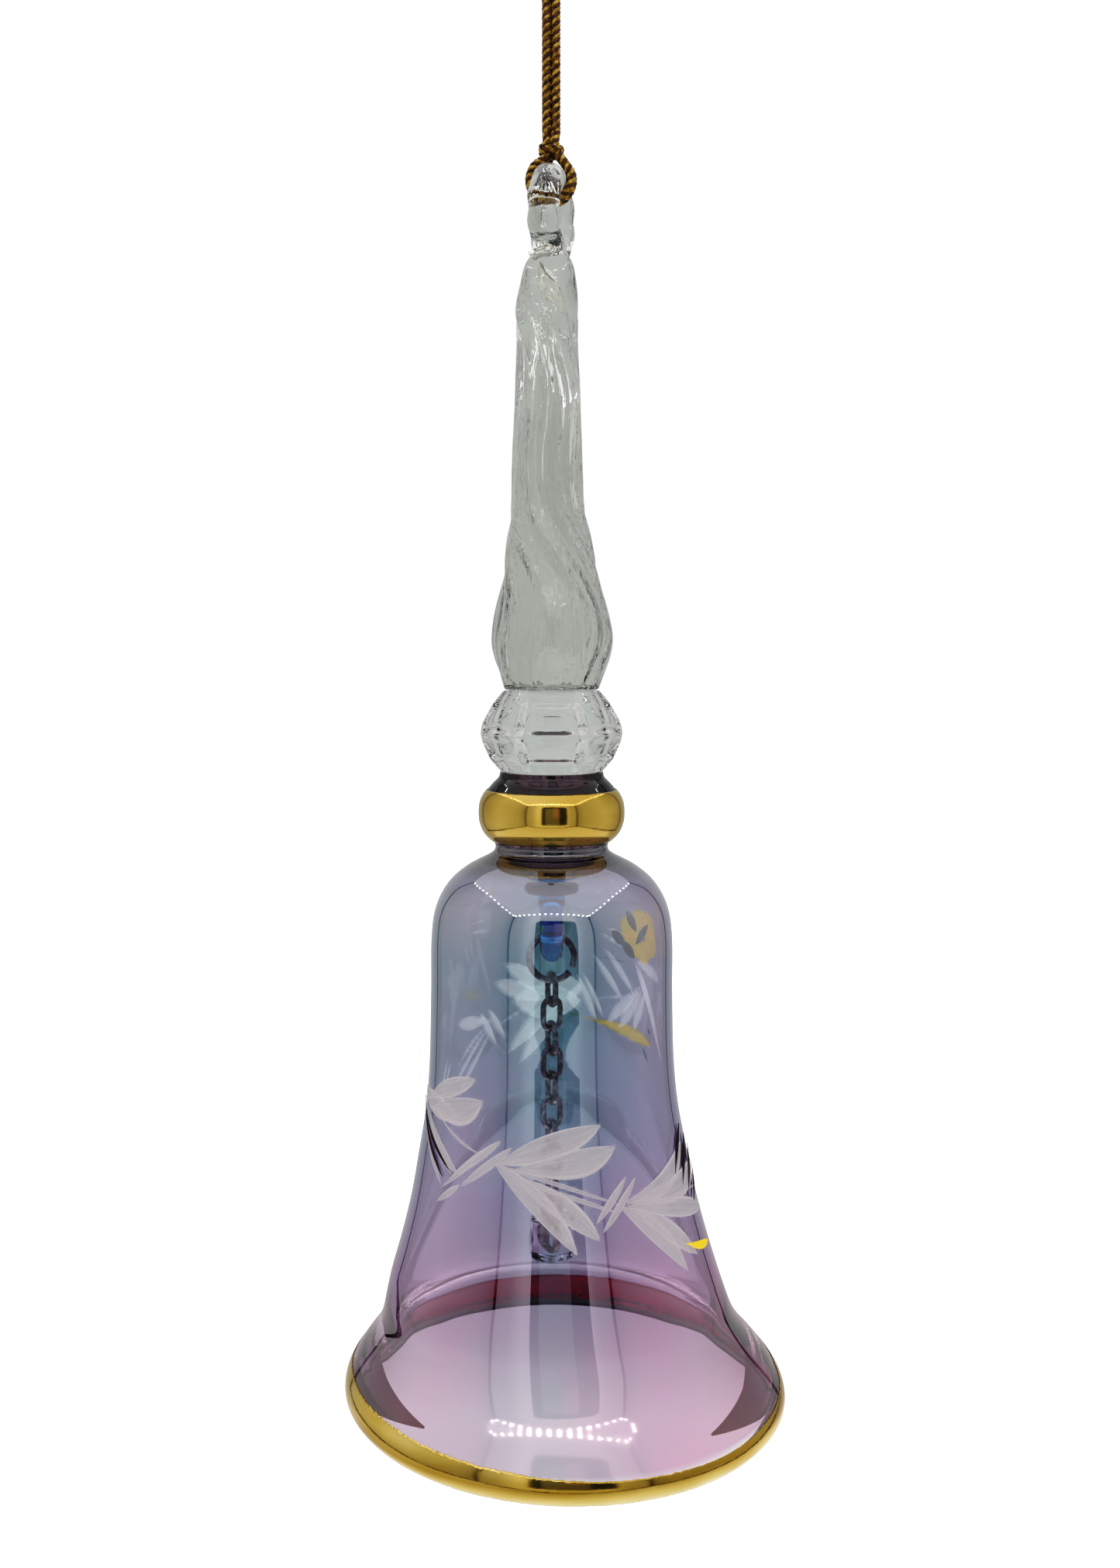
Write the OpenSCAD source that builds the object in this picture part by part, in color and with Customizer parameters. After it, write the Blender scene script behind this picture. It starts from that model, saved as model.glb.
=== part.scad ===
// Hand-blown glass bell that hangs from a gold cord.
// Heights inside the modules are above the rim plane. hung() then lowers everything, so that
// the origin is the point inside the cord loop where a hook bears. +Z is up, X is to the right.

/* [Bell] */
// Outside diameter of the mouth, gilding included
mouth_d = 54; // [53:0.5:55]
// Outside diameter of the straight upper body
waist_d = 28.9; // [28.5:0.1:29.3]
// Thickness of the blown wall
wall_t = 1.1; // [0.9:0.1:1.3]
// Thickness of the fired gold layer
gilding_t = 0.1; // [0.08:0.01:0.15]
// Height of the gold band on the lip
gilding_h = 4.6; // [4:0.1:5.2]

/* [Neck and collar] */
// Diameter of the collar, gilding included
collar_d = 17.4; // [17:0.1:17.8]
// Diameter of the necks above and below the collar
neck_d = 13.4; // [13:0.1:13.8]

/* [Handle] */
// Distance across the corners of the six-sided knop
knop_d = 17.2; // [16.8:0.1:17.6]
// Diameter of the swell at the foot of the handle
swell_d = 14.1; // [13.8:0.1:14.4]
// Diameter of the handle near its tip
tip_d = 7.0; // [6.8:0.1:7.4]
// Thickness of the handle's wall
handle_wall = 1.0; // [0.8:0.1:1.2]

/* [Hanging eye] */
// Diameter of the glass rod that is bent into the eye
eye_rod_d = 3.7; // [3.5:0.1:3.7]
// Width of the hole in the eye
eye_hole_w = 2.6; // [2.6:0.1:3]
// Turn of the eye's hole away from the X axis, in degrees
eye_turn = -15; // [-20:1:-10]

/* [Clapper] */
// Diameter of the glass rod of the inner hook
hook_rod_d = 2.8; // [2.6:0.1:2.8]
// Outside diameter of the jump ring
ring_od = 6.2; // [6.1:0.1:6.3]
// Wire of the jump ring
ring_wire = 0.8; // [0.7:0.05:0.8]
// Wire of the chain links
link_wire = 0.7; // [0.65:0.01:0.7]
// Outside width of a chain link
link_w = 2.9; // [2.8:0.1:3]
// Outside length of a chain link
link_l = 4.45; // [4.4:0.05:4.5]
// Diameter of the glass clapper
clapper_d = 5.4; // [5:0.1:5.8]
// Length of the glass clapper
clapper_l = 5.9; // [5.7:0.1:6]

/* [Cord] */
// Diameter of one strand of the cord
cord_d = 1.0; // [0.9:0.05:1]

/* [Hidden] */
$fn = 64;

free_links = 9; // links that swing; the two below them are melted into the clapper
link_names = [for (i = [1:free_links]) str("chain_link_", i)];

// heights above the rim plane
hang_z = 190;          // where a hook bears inside the cord loop
neck_z = 66.2;         // foot of the lower neck
collar_z = 67.8;       // foot of the collar
collar_top_z = 74.3;
knop_z = 76.3;         // foot of the knop
knop_waist_z = 80.8;   // widest height of the knop
handle_z = 85.9;       // foot of the handle
handle_top_z = 136;
dome_z = 65.1;         // closed top of the inside of the bell

// hanging eye: a stadium ring of glass rod
eye_rod_r = eye_rod_d / 2;
eye_bend_r = eye_hole_w / 2 + eye_rod_r;
eye_z = 141.2;         // centre of the eye's upper bend
eye_leg = 1.4;

// knot of cord round the top of the eye
hitch_r = 2.5;         // middle of the wound cord, from the rod's middle
hitch_half_w = 0.9;
hitch_ball_r = 1.3;
hitch_ball_z = 148.3;  // also the point about which the knot tilts

// inner hook
hook_rod_r = hook_rod_d / 2;
hook_bend_r = 2.5;
hook_z = 57.2;         // centre of the hook's lower bend
hook_leg = 0.2;

// chain
play = 0.04;           // gap between two wires that bear on each other
ring_r = (ring_od - ring_wire) / 2;
link_r = (link_w - link_wire) / 2;
link_leg = link_l - link_w;
link_pitch = link_l - 2 * link_wire - play;
link_turn = [115, 25]; // turn about Z of odd and even links, in degrees
ring_top_z = hook_z - hook_bend_r + hook_rod_r + ring_wire / 2 + play + 0.01;
ring_z = ring_top_z - ring_r;
ring_foot_z = ring_top_z - 2 * ring_r;
first_link_z = ring_foot_z + ring_wire / 2 + link_wire / 2 + play - (link_l - link_wire) / 2;

// clapper
clapper_z = 16.7;      // foot of the clapper

// outside of the bell, from the rim up: radius, height
mouth_r = mouth_d / 2 - gilding_t;
waist_r = waist_d / 2;
neck_r = neck_d / 2;
bell_outline = [
    [mouth_r - 0.4, 0], [mouth_r, 1.2], [mouth_r - 0.25, 2.6], [mouth_r - 1, 4.2],
    [mouth_r - 2.3, 6], [mouth_r - 3.9, 8], [mouth_r - 5.2, 10.2], [mouth_r - 6.2, 13],
    [waist_r + 5.35, 16], [waist_r + 4.15, 20], [waist_r + 2.85, 25], [waist_r + 1.85, 30],
    [waist_r + 0.75, 36], [waist_r + 0.2, 42], [waist_r, 50], [waist_r - 0.05, 56.5],
    [waist_r - 0.6, 60.2], [waist_r - 2.1, 63], [waist_r - 4.25, 64.9], [neck_r + 1.05, neck_z]];
bell_steps = 4;        // points between two of the outline's own
shell_outside = curve(bell_outline, bell_steps);
shell_inside = beside(shell_outside, -wall_t);

// outline of the necks and the collar
lower_neck_outline = [[neck_r + 1.05, neck_z], [neck_r + 0.1, 66.8], [neck_r, 67.3], [neck_r + 0.15, collar_z]];
collar_r = collar_d / 2 - gilding_t;
collar_outline = [
    [neck_r + 0.15, collar_z], [collar_r - 0.6, 69], [collar_r - 0.1, 70.3], [collar_r, 71.4],
    [collar_r - 0.15, 72.6], [collar_r - 0.55, 73.6], [collar_r - 1.2, collar_top_z]];
upper_neck_outline = [
    [collar_r - 1.2, collar_top_z], [neck_r + 0.25, 75.1], [neck_r - 0.55, 75.8], [neck_r - 0.6, knop_z]];
collar_curve = curve(collar_outline, 4);
collar_bore_r = 4.4;

// outline of the handle and of the hollow inside it
swell_r = swell_d / 2;
tip_r = tip_d / 2;
handle_outline = [
    [5.6, handle_z], [6.3, 88], [swell_r - 0.1, 90.5], [swell_r, 92.5], [swell_r - 0.45, 95.2],
    [swell_r - 1.05, 98.5], [swell_r - 1.7, 103], [tip_r + 1.1, 107.5], [tip_r + 0.8, 111],
    [tip_r + 0.5, 116], [tip_r + 0.35, 121], [tip_r, 126], [tip_r + 0.15, 129],
    [tip_r - 0.2, 132.5], [tip_r - 0.7, 135], [tip_r - 1.3, handle_top_z]];
handle_hollow_top_z = 133;

// middle line of the cord in the frame: up one strand, round the hook loop and down the other
cord_half = [
    [0.52, 0, -40.3], [0.52, 0, -35], [0.52, 0, -30], [0.52, 0, -25], [0.52, 0, -20.5],
    [0.9, 0, -17], [2, 0, -13.5], [3.3, 0, -10], [4.2, 0, -6.5], [4.3, 0, -3.5],
    [3.3, 0, -1], [1.7, 0, 0.2]];
cord_top = [0, 0, cord_d / 2];
cord_route = concat(
    cord_half,
    [cord_top],
    [for (i = [len(cord_half) - 1:-1:0]) [-cord_half[i][0], 0, cord_half[i][2]]]);
cord_sides = 8;
knot_z = -20;
knot_r = 1.9;
tail_l = 4;

// A smooth curve through the points p, with n steps between neighbours
function curve(p, n) = concat(
    [for (i = [0:len(p) - 2]) for (k = [0:n - 1])
        let (before = p[max(i - 1, 0)], after = p[min(i + 2, len(p) - 1)], t = k / n)
        0.5 * (2 * p[i] + (p[i + 1] - before) * t
            + (2 * before - 5 * p[i] + 4 * p[i + 1] - after) * t * t
            + (3 * p[i] - before - 3 * p[i + 1] + after) * t * t * t)],
    [p[len(p) - 1]]);

// The points of a curve in a plane moved sideways by t: outwards where t is above 0
function beside(p, t) = [for (i = [0:len(p) - 1])
    let (d = p[min(i + 1, len(p) - 1)] - p[max(i - 1, 0)])
    p[i] + t * [d[1], -d[0]] / norm(d)];

function reversed(p) = [for (i = [len(p) - 1:-1:0]) p[i]];

module hung() {
    translate([0, 0, -hang_z])
        children();
}

// A round solid between an outline and the same heights at a fixed bore
module turned(outline, bore_r) {
    top = outline[len(outline) - 1][1];
    rotate_extrude()
        polygon(concat([[bore_r, outline[0][1]]], outline, [[bore_r, top]]));
}

// A thin layer of gold on the outside of an outline
module gold_skin(outline) {
    rotate_extrude()
        polygon(concat(outline, reversed(beside(outline, gilding_t))));
}

// A closed ring of round rod in the XZ plane: two half rings and two straight legs
module rod_link(bend_r, rod_r, leg) {
    for (side = [0, 1])
        rotate([0, 180 * side, 0])
            translate([0, 0, leg / 2])
                rotate([90, 0, 0])
                    rotate_extrude(angle = 180)
                        translate([bend_r, 0])
                            circle(rod_r);
    for (side = [-1, 1])
        translate([side * bend_r, 0, -leg / 2])
            cylinder(r = rod_r, h = leg);
}

// A round tube along a route that lies in the XZ plane
module flat_tube(route, r, sides) {
    last = len(route) - 1;
    rings = [for (i = [0:last])
        let (d = route[min(i + 1, last)] - route[max(i - 1, 0)], side = [d[2], 0, -d[0]] / norm(d))
        for (k = [0:sides - 1])
            let (a = 360 * k / sides)
            route[i] + r * (cos(a) * side + [0, sin(a), 0])];
    walls = [for (i = [0:last - 1]) for (k = [0:sides - 1])
        let (j = (k + 1) % sides)
        [i * sides + k, i * sides + j, (i + 1) * sides + j, (i + 1) * sides + k]];
    ends = [
        [for (k = [sides - 1:-1:0]) k],
        [for (k = [0:sides - 1]) last * sides + k]];
    polyhedron(points = rings, faces = concat(walls, ends));
}

module hanging_cord() {
    color("goldenrod")
        flat_tube(curve(cord_route, 2), cord_d / 2, cord_sides);
}

// Overhand knot that joins the two strands, with the cord's two short ends
module cord_knot() {
    color("darkgoldenrod")
        translate([0, 0, knot_z])
            union() {
                sphere(knot_r);
                for (side = [-1, 1])
                    rotate([side * 30, 0, 0])
                        cylinder(d = cord_d, h = tail_l);
            }
}

// Cord wound round the top of the eye, drawn together into a small ball above it
module cord_hitch() {
    color("darkgoldenrod")
        hung()
            union() {
                translate([0, 0, eye_z + eye_bend_r])
                    rotate([90, 0, eye_turn])
                        rotate_extrude()
                            translate([hitch_r, 0])
                                wound_section();
                translate([0, 0, hitch_ball_z])
                    sphere(hitch_ball_r);
            }
}

// Two strands side by side, as one rounded section
module wound_section() {
    reach = hitch_half_w - cord_d / 2;
    for (side = [-1, 1])
        translate([0, side * reach])
            circle(d = cord_d);
    square([cord_d, 2 * reach], center = true);
}

module eye_rod() {
    translate([0, 0, eye_z - eye_leg / 2])
        rotate([0, 0, 90 + eye_turn])
            rod_link(eye_bend_r, eye_rod_r, eye_leg);
}

module hanging_eye() {
    color("white")
        hung()
            eye_rod();
}

// Hollow tapering handle, with the foot of the eye melted into its tip
module handle_stem() {
    outside = curve(handle_outline, 3);
    hollow = [for (p = beside(outside, -handle_wall)) if (p[1] > handle_z && p[1] < handle_hollow_top_z) p];
    color("gainsboro")
        hung()
            difference() {
                rotate_extrude()
                    polygon(concat([[0, handle_z]], outside, [[0, handle_top_z]]));
                rotate_extrude()
                    polygon(concat(
                        [[0, handle_z - 1], [hollow[0][0], handle_z - 1]],
                        hollow,
                        [[1, handle_hollow_top_z], [0, handle_hollow_top_z]]));
                eye_rod();
            }
}

// Six-sided knop with two rows of bevels and a round hollow
module faceted_knop() {
    foot_r = neck_r - 0.35;
    head_r = 6.2;
    corner_r = knop_d / 2 + 0.5;
    color("gainsboro")
        hung()
            difference() {
                intersection() {
                    union() {
                        translate([0, 0, knop_z])
                            cylinder(r1 = foot_r + 0.5, r2 = corner_r, h = knop_waist_z - knop_z, $fn = 6);
                        translate([0, 0, knop_waist_z])
                            cylinder(r1 = corner_r, r2 = head_r, h = handle_z - knop_waist_z, $fn = 6);
                    }
                    rotate_extrude()
                        polygon(concat(
                            [[0, knop_z]],
                            curve([
                                [foot_r, knop_z], [7.4, 77.9], [knop_d / 2 - 0.3, 79.6],
                                [knop_d / 2 - 0.1, 81], [8, 82.4], [6.9, 84.2], [5.7, handle_z]], 3),
                            [[0, handle_z]]));
                }
                rotate_extrude()
                    polygon([
                        [0, knop_z - 1], [collar_bore_r, knop_z - 1], [collar_bore_r, 77.2], [5.6, 79.3],
                        [5.9, 81], [5.4, 83], [4.2, 84.8], [4.2, handle_z + 1], [0, handle_z + 1]]);
            }
}

module upper_neck() {
    color("rebeccapurple")
        hung()
            turned(curve(upper_neck_outline, 3), collar_bore_r);
}

module collar() {
    color("rebeccapurple")
        hung()
            turned(collar_curve, collar_bore_r);
}

// Fired gold round the collar
module collar_gilding() {
    bare = 1; // points left bare at the foot and at the top
    covered = [for (i = [bare:len(collar_curve) - 1 - bare]) collar_curve[i]];
    color("gold")
        hung()
            gold_skin(covered);
}

module lower_neck() {
    color("plum")
        hung()
            turned(curve(lower_neck_outline, 3), 0);
}

// Blown bell, open at the mouth and closed at the top
module bell_shell() {
    inside = [for (p = shell_inside) if (p[1] < dome_z && p[1] > 0) p];
    color("lightsteelblue")
        hung()
            rotate_extrude()
                polygon(concat(
                    [[inside[0][0], 0]],
                    shell_outside,
                    [[0, neck_z], [0, dome_z], [inside[len(inside) - 1][0], dome_z]],
                    reversed(inside)));
}

// Fired gold on the outside of the lip
module rim_gilding() {
    first = 2;
    covered = [for (i = [first:len(shell_outside) - 1]) if (shell_outside[i][1] < gilding_h) shell_outside[i]];
    color("gold")
        hung()
            gold_skin(covered);
}

// Glass rod fused into the dome and bent into an eye for the jump ring
module clapper_hook() {
    color("royalblue")
        hung()
            union() {
                translate([0, 0, hook_z + hook_leg / 2])
                    rotate([0, 0, 90])
                        rod_link(hook_bend_r, hook_rod_r, hook_leg);
                translate([0, 0, hook_z + hook_leg + hook_bend_r])
                    cylinder(r = hook_rod_r + 0.1, h = dome_z - hook_z - hook_leg - hook_bend_r);
            }
}

// Bead of glass where the hook's shank was sealed
module hook_bead() {
    bead_z = 62.4;
    bead_r = 3.2;
    bead_h = 1.1;
    color("steelblue")
        hung()
            translate([0, 0, bead_z])
                rotate_extrude()
                    translate([bead_r - bead_h / 2, 0])
                        union() {
                            circle(d = bead_h);
                            translate([hook_rod_r + 0.1 - bead_r + bead_h / 2, -bead_h / 2])
                                square([bead_r - bead_h / 2 - hook_rod_r - 0.1, bead_h]);
                        }
}

// Ring bent from wire, with the slit where its ends meet
module jump_ring() {
    slit_angle = 40;
    slit_w = 0.15;
    color("dimgray")
        hung()
            translate([0, 0, ring_z])
                difference() {
                    rotate([90, 0, 0])
                        rotate_extrude()
                            translate([ring_r, 0])
                                circle(d = ring_wire);
                    rotate([0, slit_angle, 0])
                        translate([ring_r, 0, 0])
                            cube([2 * ring_wire, 2 * ring_wire, slit_w], center = true);
                }
}

// Link number i, counted down from the jump ring
module chain_link(i) {
    color("dimgray")
        hung()
            translate([0, 0, first_link_z - (i - 1) * link_pitch])
                rotate([0, 0, link_turn[(i + 1) % 2]])
                    rod_link(link_r, link_wire / 2, link_leg);
}

// Clear glass melted round the last two links
module clapper() {
    r = clapper_d / 2;
    edge = 0.9;
    shoulder_z = clapper_z + clapper_l - 1.6;
    color("white")
        hung()
            rotate_extrude()
                polygon(concat(
                    [[0, clapper_z]],
                    [for (a = [-90:15:0]) [r - edge + edge * cos(a), clapper_z + edge + edge * sin(a)]],
                    [for (a = [0:10:80]) [r * cos(a), shoulder_z + 1.6 * sin(a)]],
                    [[0, clapper_z + clapper_l]]));
}

hanging_cord();
cord_knot();
cord_hitch();
hanging_eye();
handle_stem();
faceted_knop();
upper_neck();
collar();
collar_gilding();
lower_neck();
bell_shell();
rim_gilding();
clapper_hook();
hook_bead();
jump_ring();
for (i = [1:free_links])
    chain_link(i);
chain_link(free_links + 1);  // anchor_link
chain_link(free_links + 2);  // inner_anchor_link
clapper();
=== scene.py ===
"""A hand-blown glass bell on a gold cord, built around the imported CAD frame.

Shapes are worked out in millimetres above the rim plane, as in the CAD source: X to the right,
Y away from the viewer. to_frame() turns them into the frame's metres, whose origin is the point
inside the cord loop where a hook bears.
"""
import math

import bmesh
import bpy
import numpy as np
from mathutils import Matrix, Vector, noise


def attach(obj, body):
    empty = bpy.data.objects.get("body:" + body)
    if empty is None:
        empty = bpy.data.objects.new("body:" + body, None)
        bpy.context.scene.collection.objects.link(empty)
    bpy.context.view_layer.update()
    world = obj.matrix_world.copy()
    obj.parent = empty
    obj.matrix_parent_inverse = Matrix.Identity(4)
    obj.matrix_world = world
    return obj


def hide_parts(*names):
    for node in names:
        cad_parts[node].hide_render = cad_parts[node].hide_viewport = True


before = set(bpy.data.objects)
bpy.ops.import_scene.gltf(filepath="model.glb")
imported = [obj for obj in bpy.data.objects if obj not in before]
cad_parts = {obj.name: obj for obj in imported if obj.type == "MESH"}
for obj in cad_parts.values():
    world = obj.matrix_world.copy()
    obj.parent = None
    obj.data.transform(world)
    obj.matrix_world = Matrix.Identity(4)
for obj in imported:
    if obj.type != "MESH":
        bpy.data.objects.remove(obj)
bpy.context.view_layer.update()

MM = 0.001
HANG_Z = 190.0  # height of the frame's origin above the rim plane
FULL_TURN = 2 * math.pi


# ---- tools for shapes

def to_frame(points):
    """Millimetres above the rim plane to metres in the frame."""
    return (np.asarray(points, float) - (0, 0, HANG_Z)) * MM


def smoothstep(low, high, x):
    t = np.clip((np.asarray(x, float) - low) / (high - low), 0, 1)
    return t * t * (3 - 2 * t)


def catmull(points, steps):
    """A smooth curve through the points, with steps points between neighbours."""
    p = np.asarray(points, float)
    t = (np.arange(steps) / steps)[None, :, None]
    a, b = p[:-1, None, :], p[1:, None, :]
    c, d = np.vstack([p[:1], p[:-2]])[:, None, :], np.vstack([p[2:], p[-1:]])[:, None, :]
    curve = 0.5 * (2 * a + (b - c) * t + (2 * c - 5 * a + 4 * b - d) * t**2
                   + (3 * a - c - 3 * b + d) * t**3)
    return np.vstack([curve.reshape(-1, p.shape[1]), p[-1:]])


def around(angle, r, z):
    """Points at angles from the front, radii and heights."""
    return np.stack([r * np.sin(angle), -r * np.cos(angle), z + 0 * angle], axis=-1)


def beside(outline, t):
    """An (r, z) outline moved outwards by t."""
    p = np.asarray(outline, float)
    d = np.gradient(p, axis=0)
    d /= np.linalg.norm(d, axis=1)[:, None]
    return p + t * np.stack([d[:, 1], -d[:, 0]], axis=1)


def grid_faces(rows, columns, closed_rows=False, closed_columns=True):
    """Quads over a grid of points stored row by row."""
    faces = []
    for i in range(rows if closed_rows else rows - 1):
        for j in range(columns if closed_columns else columns - 1):
            k, m = (i + 1) % rows, (j + 1) % columns
            faces.append((i * columns + j, i * columns + m, k * columns + m, k * columns + j))
    return faces


def joined(*parts):
    """Several (points, faces) pairs as one."""
    points, faces, first = [], [], 0
    for p, f in parts:
        points.append(p)
        faces += [tuple(first + i for i in face) for face in f]
        first += len(p)
    return np.vstack(points), faces


def new_object(name, points, faces, uv=None):
    """A mesh object from points in millimetres above the rim plane, its normals outwards."""
    mesh = bpy.data.meshes.new(name)
    mesh.from_pydata(to_frame(points).tolist(), [], faces)
    if uv is not None:
        loops = np.zeros(len(mesh.loops), int)
        mesh.loops.foreach_get("vertex_index", loops)
        mesh.uv_layers.new(name="stroke").data.foreach_set("uv", uv[loops].ravel())
    bm = bmesh.new()
    bm.from_mesh(mesh)
    bmesh.ops.remove_doubles(bm, verts=bm.verts, dist=1e-7)
    bmesh.ops.recalc_face_normals(bm, faces=bm.faces)
    bm.to_mesh(mesh)
    bm.free()
    smooth(mesh)
    piece = bpy.data.objects.new(name, mesh)
    bpy.context.scene.collection.objects.link(piece)
    return piece


def smooth(mesh):
    mesh.polygons.foreach_set("use_smooth", [True] * len(mesh.polygons))


def faces_inwards(polygon):
    """True for a polygon that faces the bell's axis."""
    c, n = polygon.center, polygon.normal
    return c.x * n.x + c.y * n.y < 0


def two_looks(piece, first, second, seconds):
    """Gives a piece two materials. seconds says of each polygon whether it has the second one."""
    piece.data.materials.append(first)
    piece.data.materials.append(second)
    piece.data.polygons.foreach_set("material_index", [int(s) for s in seconds])


def finish_piece(piece, look, body, replaces=()):
    """Gives a piece its material and its body, and hides the CAD parts that it replaces."""
    if look is not None:
        piece.data.materials.clear()
        piece.data.materials.append(look)
    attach(piece, body)
    if replaces:
        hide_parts(*replaces)
    return piece


def turned(outline, segments, shape=None):
    """Points and faces of a closed (r, z) outline turned about the axis.

    shape(angle, r, z) may give back a changed r for hand-made unevenness."""
    p = np.asarray(outline, float)
    a, r = np.meshgrid(np.arange(segments) * FULL_TURN / segments, p[:, 0])
    z = np.repeat(p[:, 1:], segments, axis=1)
    if shape is not None:
        r = shape(a, r, z)
    return around(a, r, z).reshape(-1, 3), grid_faces(len(p), segments, closed_rows=True)


def surface_on(curve, shape=None, place=None):
    """A function that gives points on a turned surface from its angle in degrees and its height."""
    curve = np.asarray(curve, float)
    slope = np.gradient(curve, axis=0)
    slope /= np.linalg.norm(slope, axis=1)[:, None]
    order = np.argsort(curve[:, 1], kind="stable")
    heights, radii, slope = curve[order, 1], curve[order, 0], slope[order]

    def at(angle, z, offset=0.0):
        a = np.radians(np.asarray(angle, float))
        z = np.asarray(z, float)
        r = np.interp(z, heights, radii)
        if shape is not None:
            r = shape(a, r, z)
        r = r + np.interp(z, heights, slope[:, 1]) * offset
        up = z - np.interp(z, heights, slope[:, 0]) * offset
        points = around(a, r, up).reshape(-1, 3)
        return points if place is None else place(points)

    return at


def turned_about_z(points, angle):
    c, s = math.cos(angle), math.sin(angle)
    p = np.asarray(points, float)
    return np.stack([c * p[:, 0] - s * p[:, 1], s * p[:, 0] + c * p[:, 1], p[:, 2]], axis=1)


def lengths(path):
    """How far along the path each of its points is."""
    return np.concatenate([[0], np.cumsum(np.linalg.norm(np.diff(path, axis=0), axis=1))])


def resampled(path, step):
    """A path as points about step apart."""
    p = np.asarray(path, float)
    s = lengths(p)
    t = np.linspace(0, s[-1], max(2, int(round(s[-1] / step)) + 1))
    return np.stack([np.interp(t, s, p[:, k]) for k in range(p.shape[1])], axis=1)


def steady_normals(p):
    """Two normals at each point of a path, which don't spin round it."""
    tangent = np.gradient(p, axis=0)
    tangent /= np.linalg.norm(tangent, axis=1)[:, None]
    side = np.zeros_like(p)
    normal = np.eye(3)[0 if abs(tangent[0][1]) > 0.9 else 1]
    for i, t in enumerate(tangent):
        normal = normal - (normal @ t) * t
        normal /= np.linalg.norm(normal)
        side[i] = normal
    return side, np.cross(tangent, side)


def rings(path, radius, sides, u, v):
    """The points of a round tube, from two normals at each point of its path."""
    a = (np.arange(sides) * FULL_TURN / sides)[None, :, None]
    ring = np.cos(a) * u[:, None, :] + np.sin(a) * v[:, None, :]
    return (path[:, None, :] + np.broadcast_to(radius, len(path))[:, None, None] * ring).reshape(-1, 3)


def tube(path, radius, sides):
    """Points and faces of a round tube along a path, with both ends closed."""
    last = (len(path) - 1) * sides
    ends = [tuple(range(sides))[::-1], tuple(range(last, last + sides))]
    return rings(path, radius, sides, *steady_normals(path)), grid_faces(len(path), sides) + ends


def loop_tube(path, radius, sides, across):
    """A tube whose path closes on itself in the plane at right angles to across."""
    tangent = np.roll(path, -1, axis=0) - np.roll(path, 1, axis=0)
    tangent /= np.linalg.norm(tangent, axis=1)[:, None]
    u = np.broadcast_to(across, path.shape)
    points = rings(path, radius, sides, u, np.cross(tangent, across))
    return points, grid_faces(len(path), sides, closed_rows=True)


def capped(rows):
    """A closed skin from rings of points, with a point at each end."""
    n = len(rows[0])
    points = np.vstack(list(rows) + [rows[0].mean(axis=0)[None], rows[-1].mean(axis=0)[None]])
    faces = grid_faces(len(rows), n)
    foot, last = len(rows) * n, (len(rows) - 1) * n
    for j in range(n):
        k = (j + 1) % n
        faces.append((foot, k, j))
        faces.append((foot + 1, last + j, last + k))
    return points, faces


def fused(piece, voxel, smoothing):
    """Melts the parts of a piece into one skin."""
    m = piece.modifiers.new("melt", "REMESH")
    m.mode = "VOXEL"
    m.voxel_size = voxel * MM
    m.use_smooth_shade = True
    s = piece.modifiers.new("flow", "SMOOTH")
    s.factor = 0.5
    s.iterations = smoothing
    melted = piece.evaluated_get(bpy.context.evaluated_depsgraph_get())
    mesh = bpy.data.meshes.new_from_object(melted)
    piece.modifiers.clear()
    piece.data = mesh
    smooth(mesh)
    return piece


# ---- tools for materials

def material(name, **values):
    """A Principled material. Values are the shader's own sockets, with _ for a space."""
    m = bpy.data.materials.new(name)
    m.use_nodes = True
    shader = m.node_tree.nodes["Principled BSDF"]
    for key, value in values.items():
        shader.inputs[key.replace("_", " ")].default_value = value
    return m, m.node_tree, shader


def node(tree, kind, inputs=None, **settings):
    """A node with its settings. An input is a value, or another node's socket that leads to it."""
    n = tree.nodes.new(kind)
    for key, value in settings.items():
        setattr(n, key, value)
    for key, value in (inputs or {}).items():
        if isinstance(value, bpy.types.NodeSocket):
            tree.links.new(value, n.inputs[key])
        else:
            n.inputs[key].default_value = value
    return n


def ramp(tree, factor, stops):
    """A colour ramp. stops are (place, colour), and a number stands for a grey."""
    n = node(tree, "ShaderNodeValToRGB", {"Fac": factor})
    elements = n.color_ramp.elements
    elements.remove(elements[-1])
    for i, (place, colour) in enumerate(stops):
        colour = (*colour, 1) if isinstance(colour, tuple) else (colour, colour, colour, 1)
        element = elements.new(place) if i else elements[0]
        element.position = place
        element.color = colour
    return n.outputs["Color"]


def height(tree, low, high, axis="Z"):
    """The height above the rim plane, or a place along X or Y: 0 at low and 1 at high, in millimetres."""
    datum = HANG_Z if axis == "Z" else 0.0
    split = node(tree, "ShaderNodeSeparateXYZ", {0: node(tree, "ShaderNodeTexCoord").outputs["Object"]})
    scale = node(tree, "ShaderNodeMapRange", {"Value": split.outputs[axis], "From Min": (low - datum) * MM,
                                              "From Max": (high - datum) * MM})
    return scale.outputs["Result"]


def noise_at(tree, place, stretch, scale, detail):
    place = node(tree, "ShaderNodeMapping", {"Vector": place, "Scale": stretch}).outputs["Vector"]
    noise = node(tree, "ShaderNodeTexNoise", {"Vector": place, "Scale": scale, "Detail": detail})
    return noise.outputs["Fac"]


def noise_value(tree, scale, detail=2.0, stretch=(1, 1, 1)):
    """Noise in object space; scale counts blobs in a millimetre."""
    place = node(tree, "ShaderNodeTexCoord").outputs["Object"]
    return noise_at(tree, place, [s / MM for s in stretch], scale, detail)


def bump(tree, shader, value, distance, strength=1.0):
    """Bump of a given depth in millimetres."""
    n = node(tree, "ShaderNodeBump", {"Height": value, "Distance": distance * MM, "Strength": strength})
    tree.links.new(n.outputs["Normal"], shader.inputs["Normal"])


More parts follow.
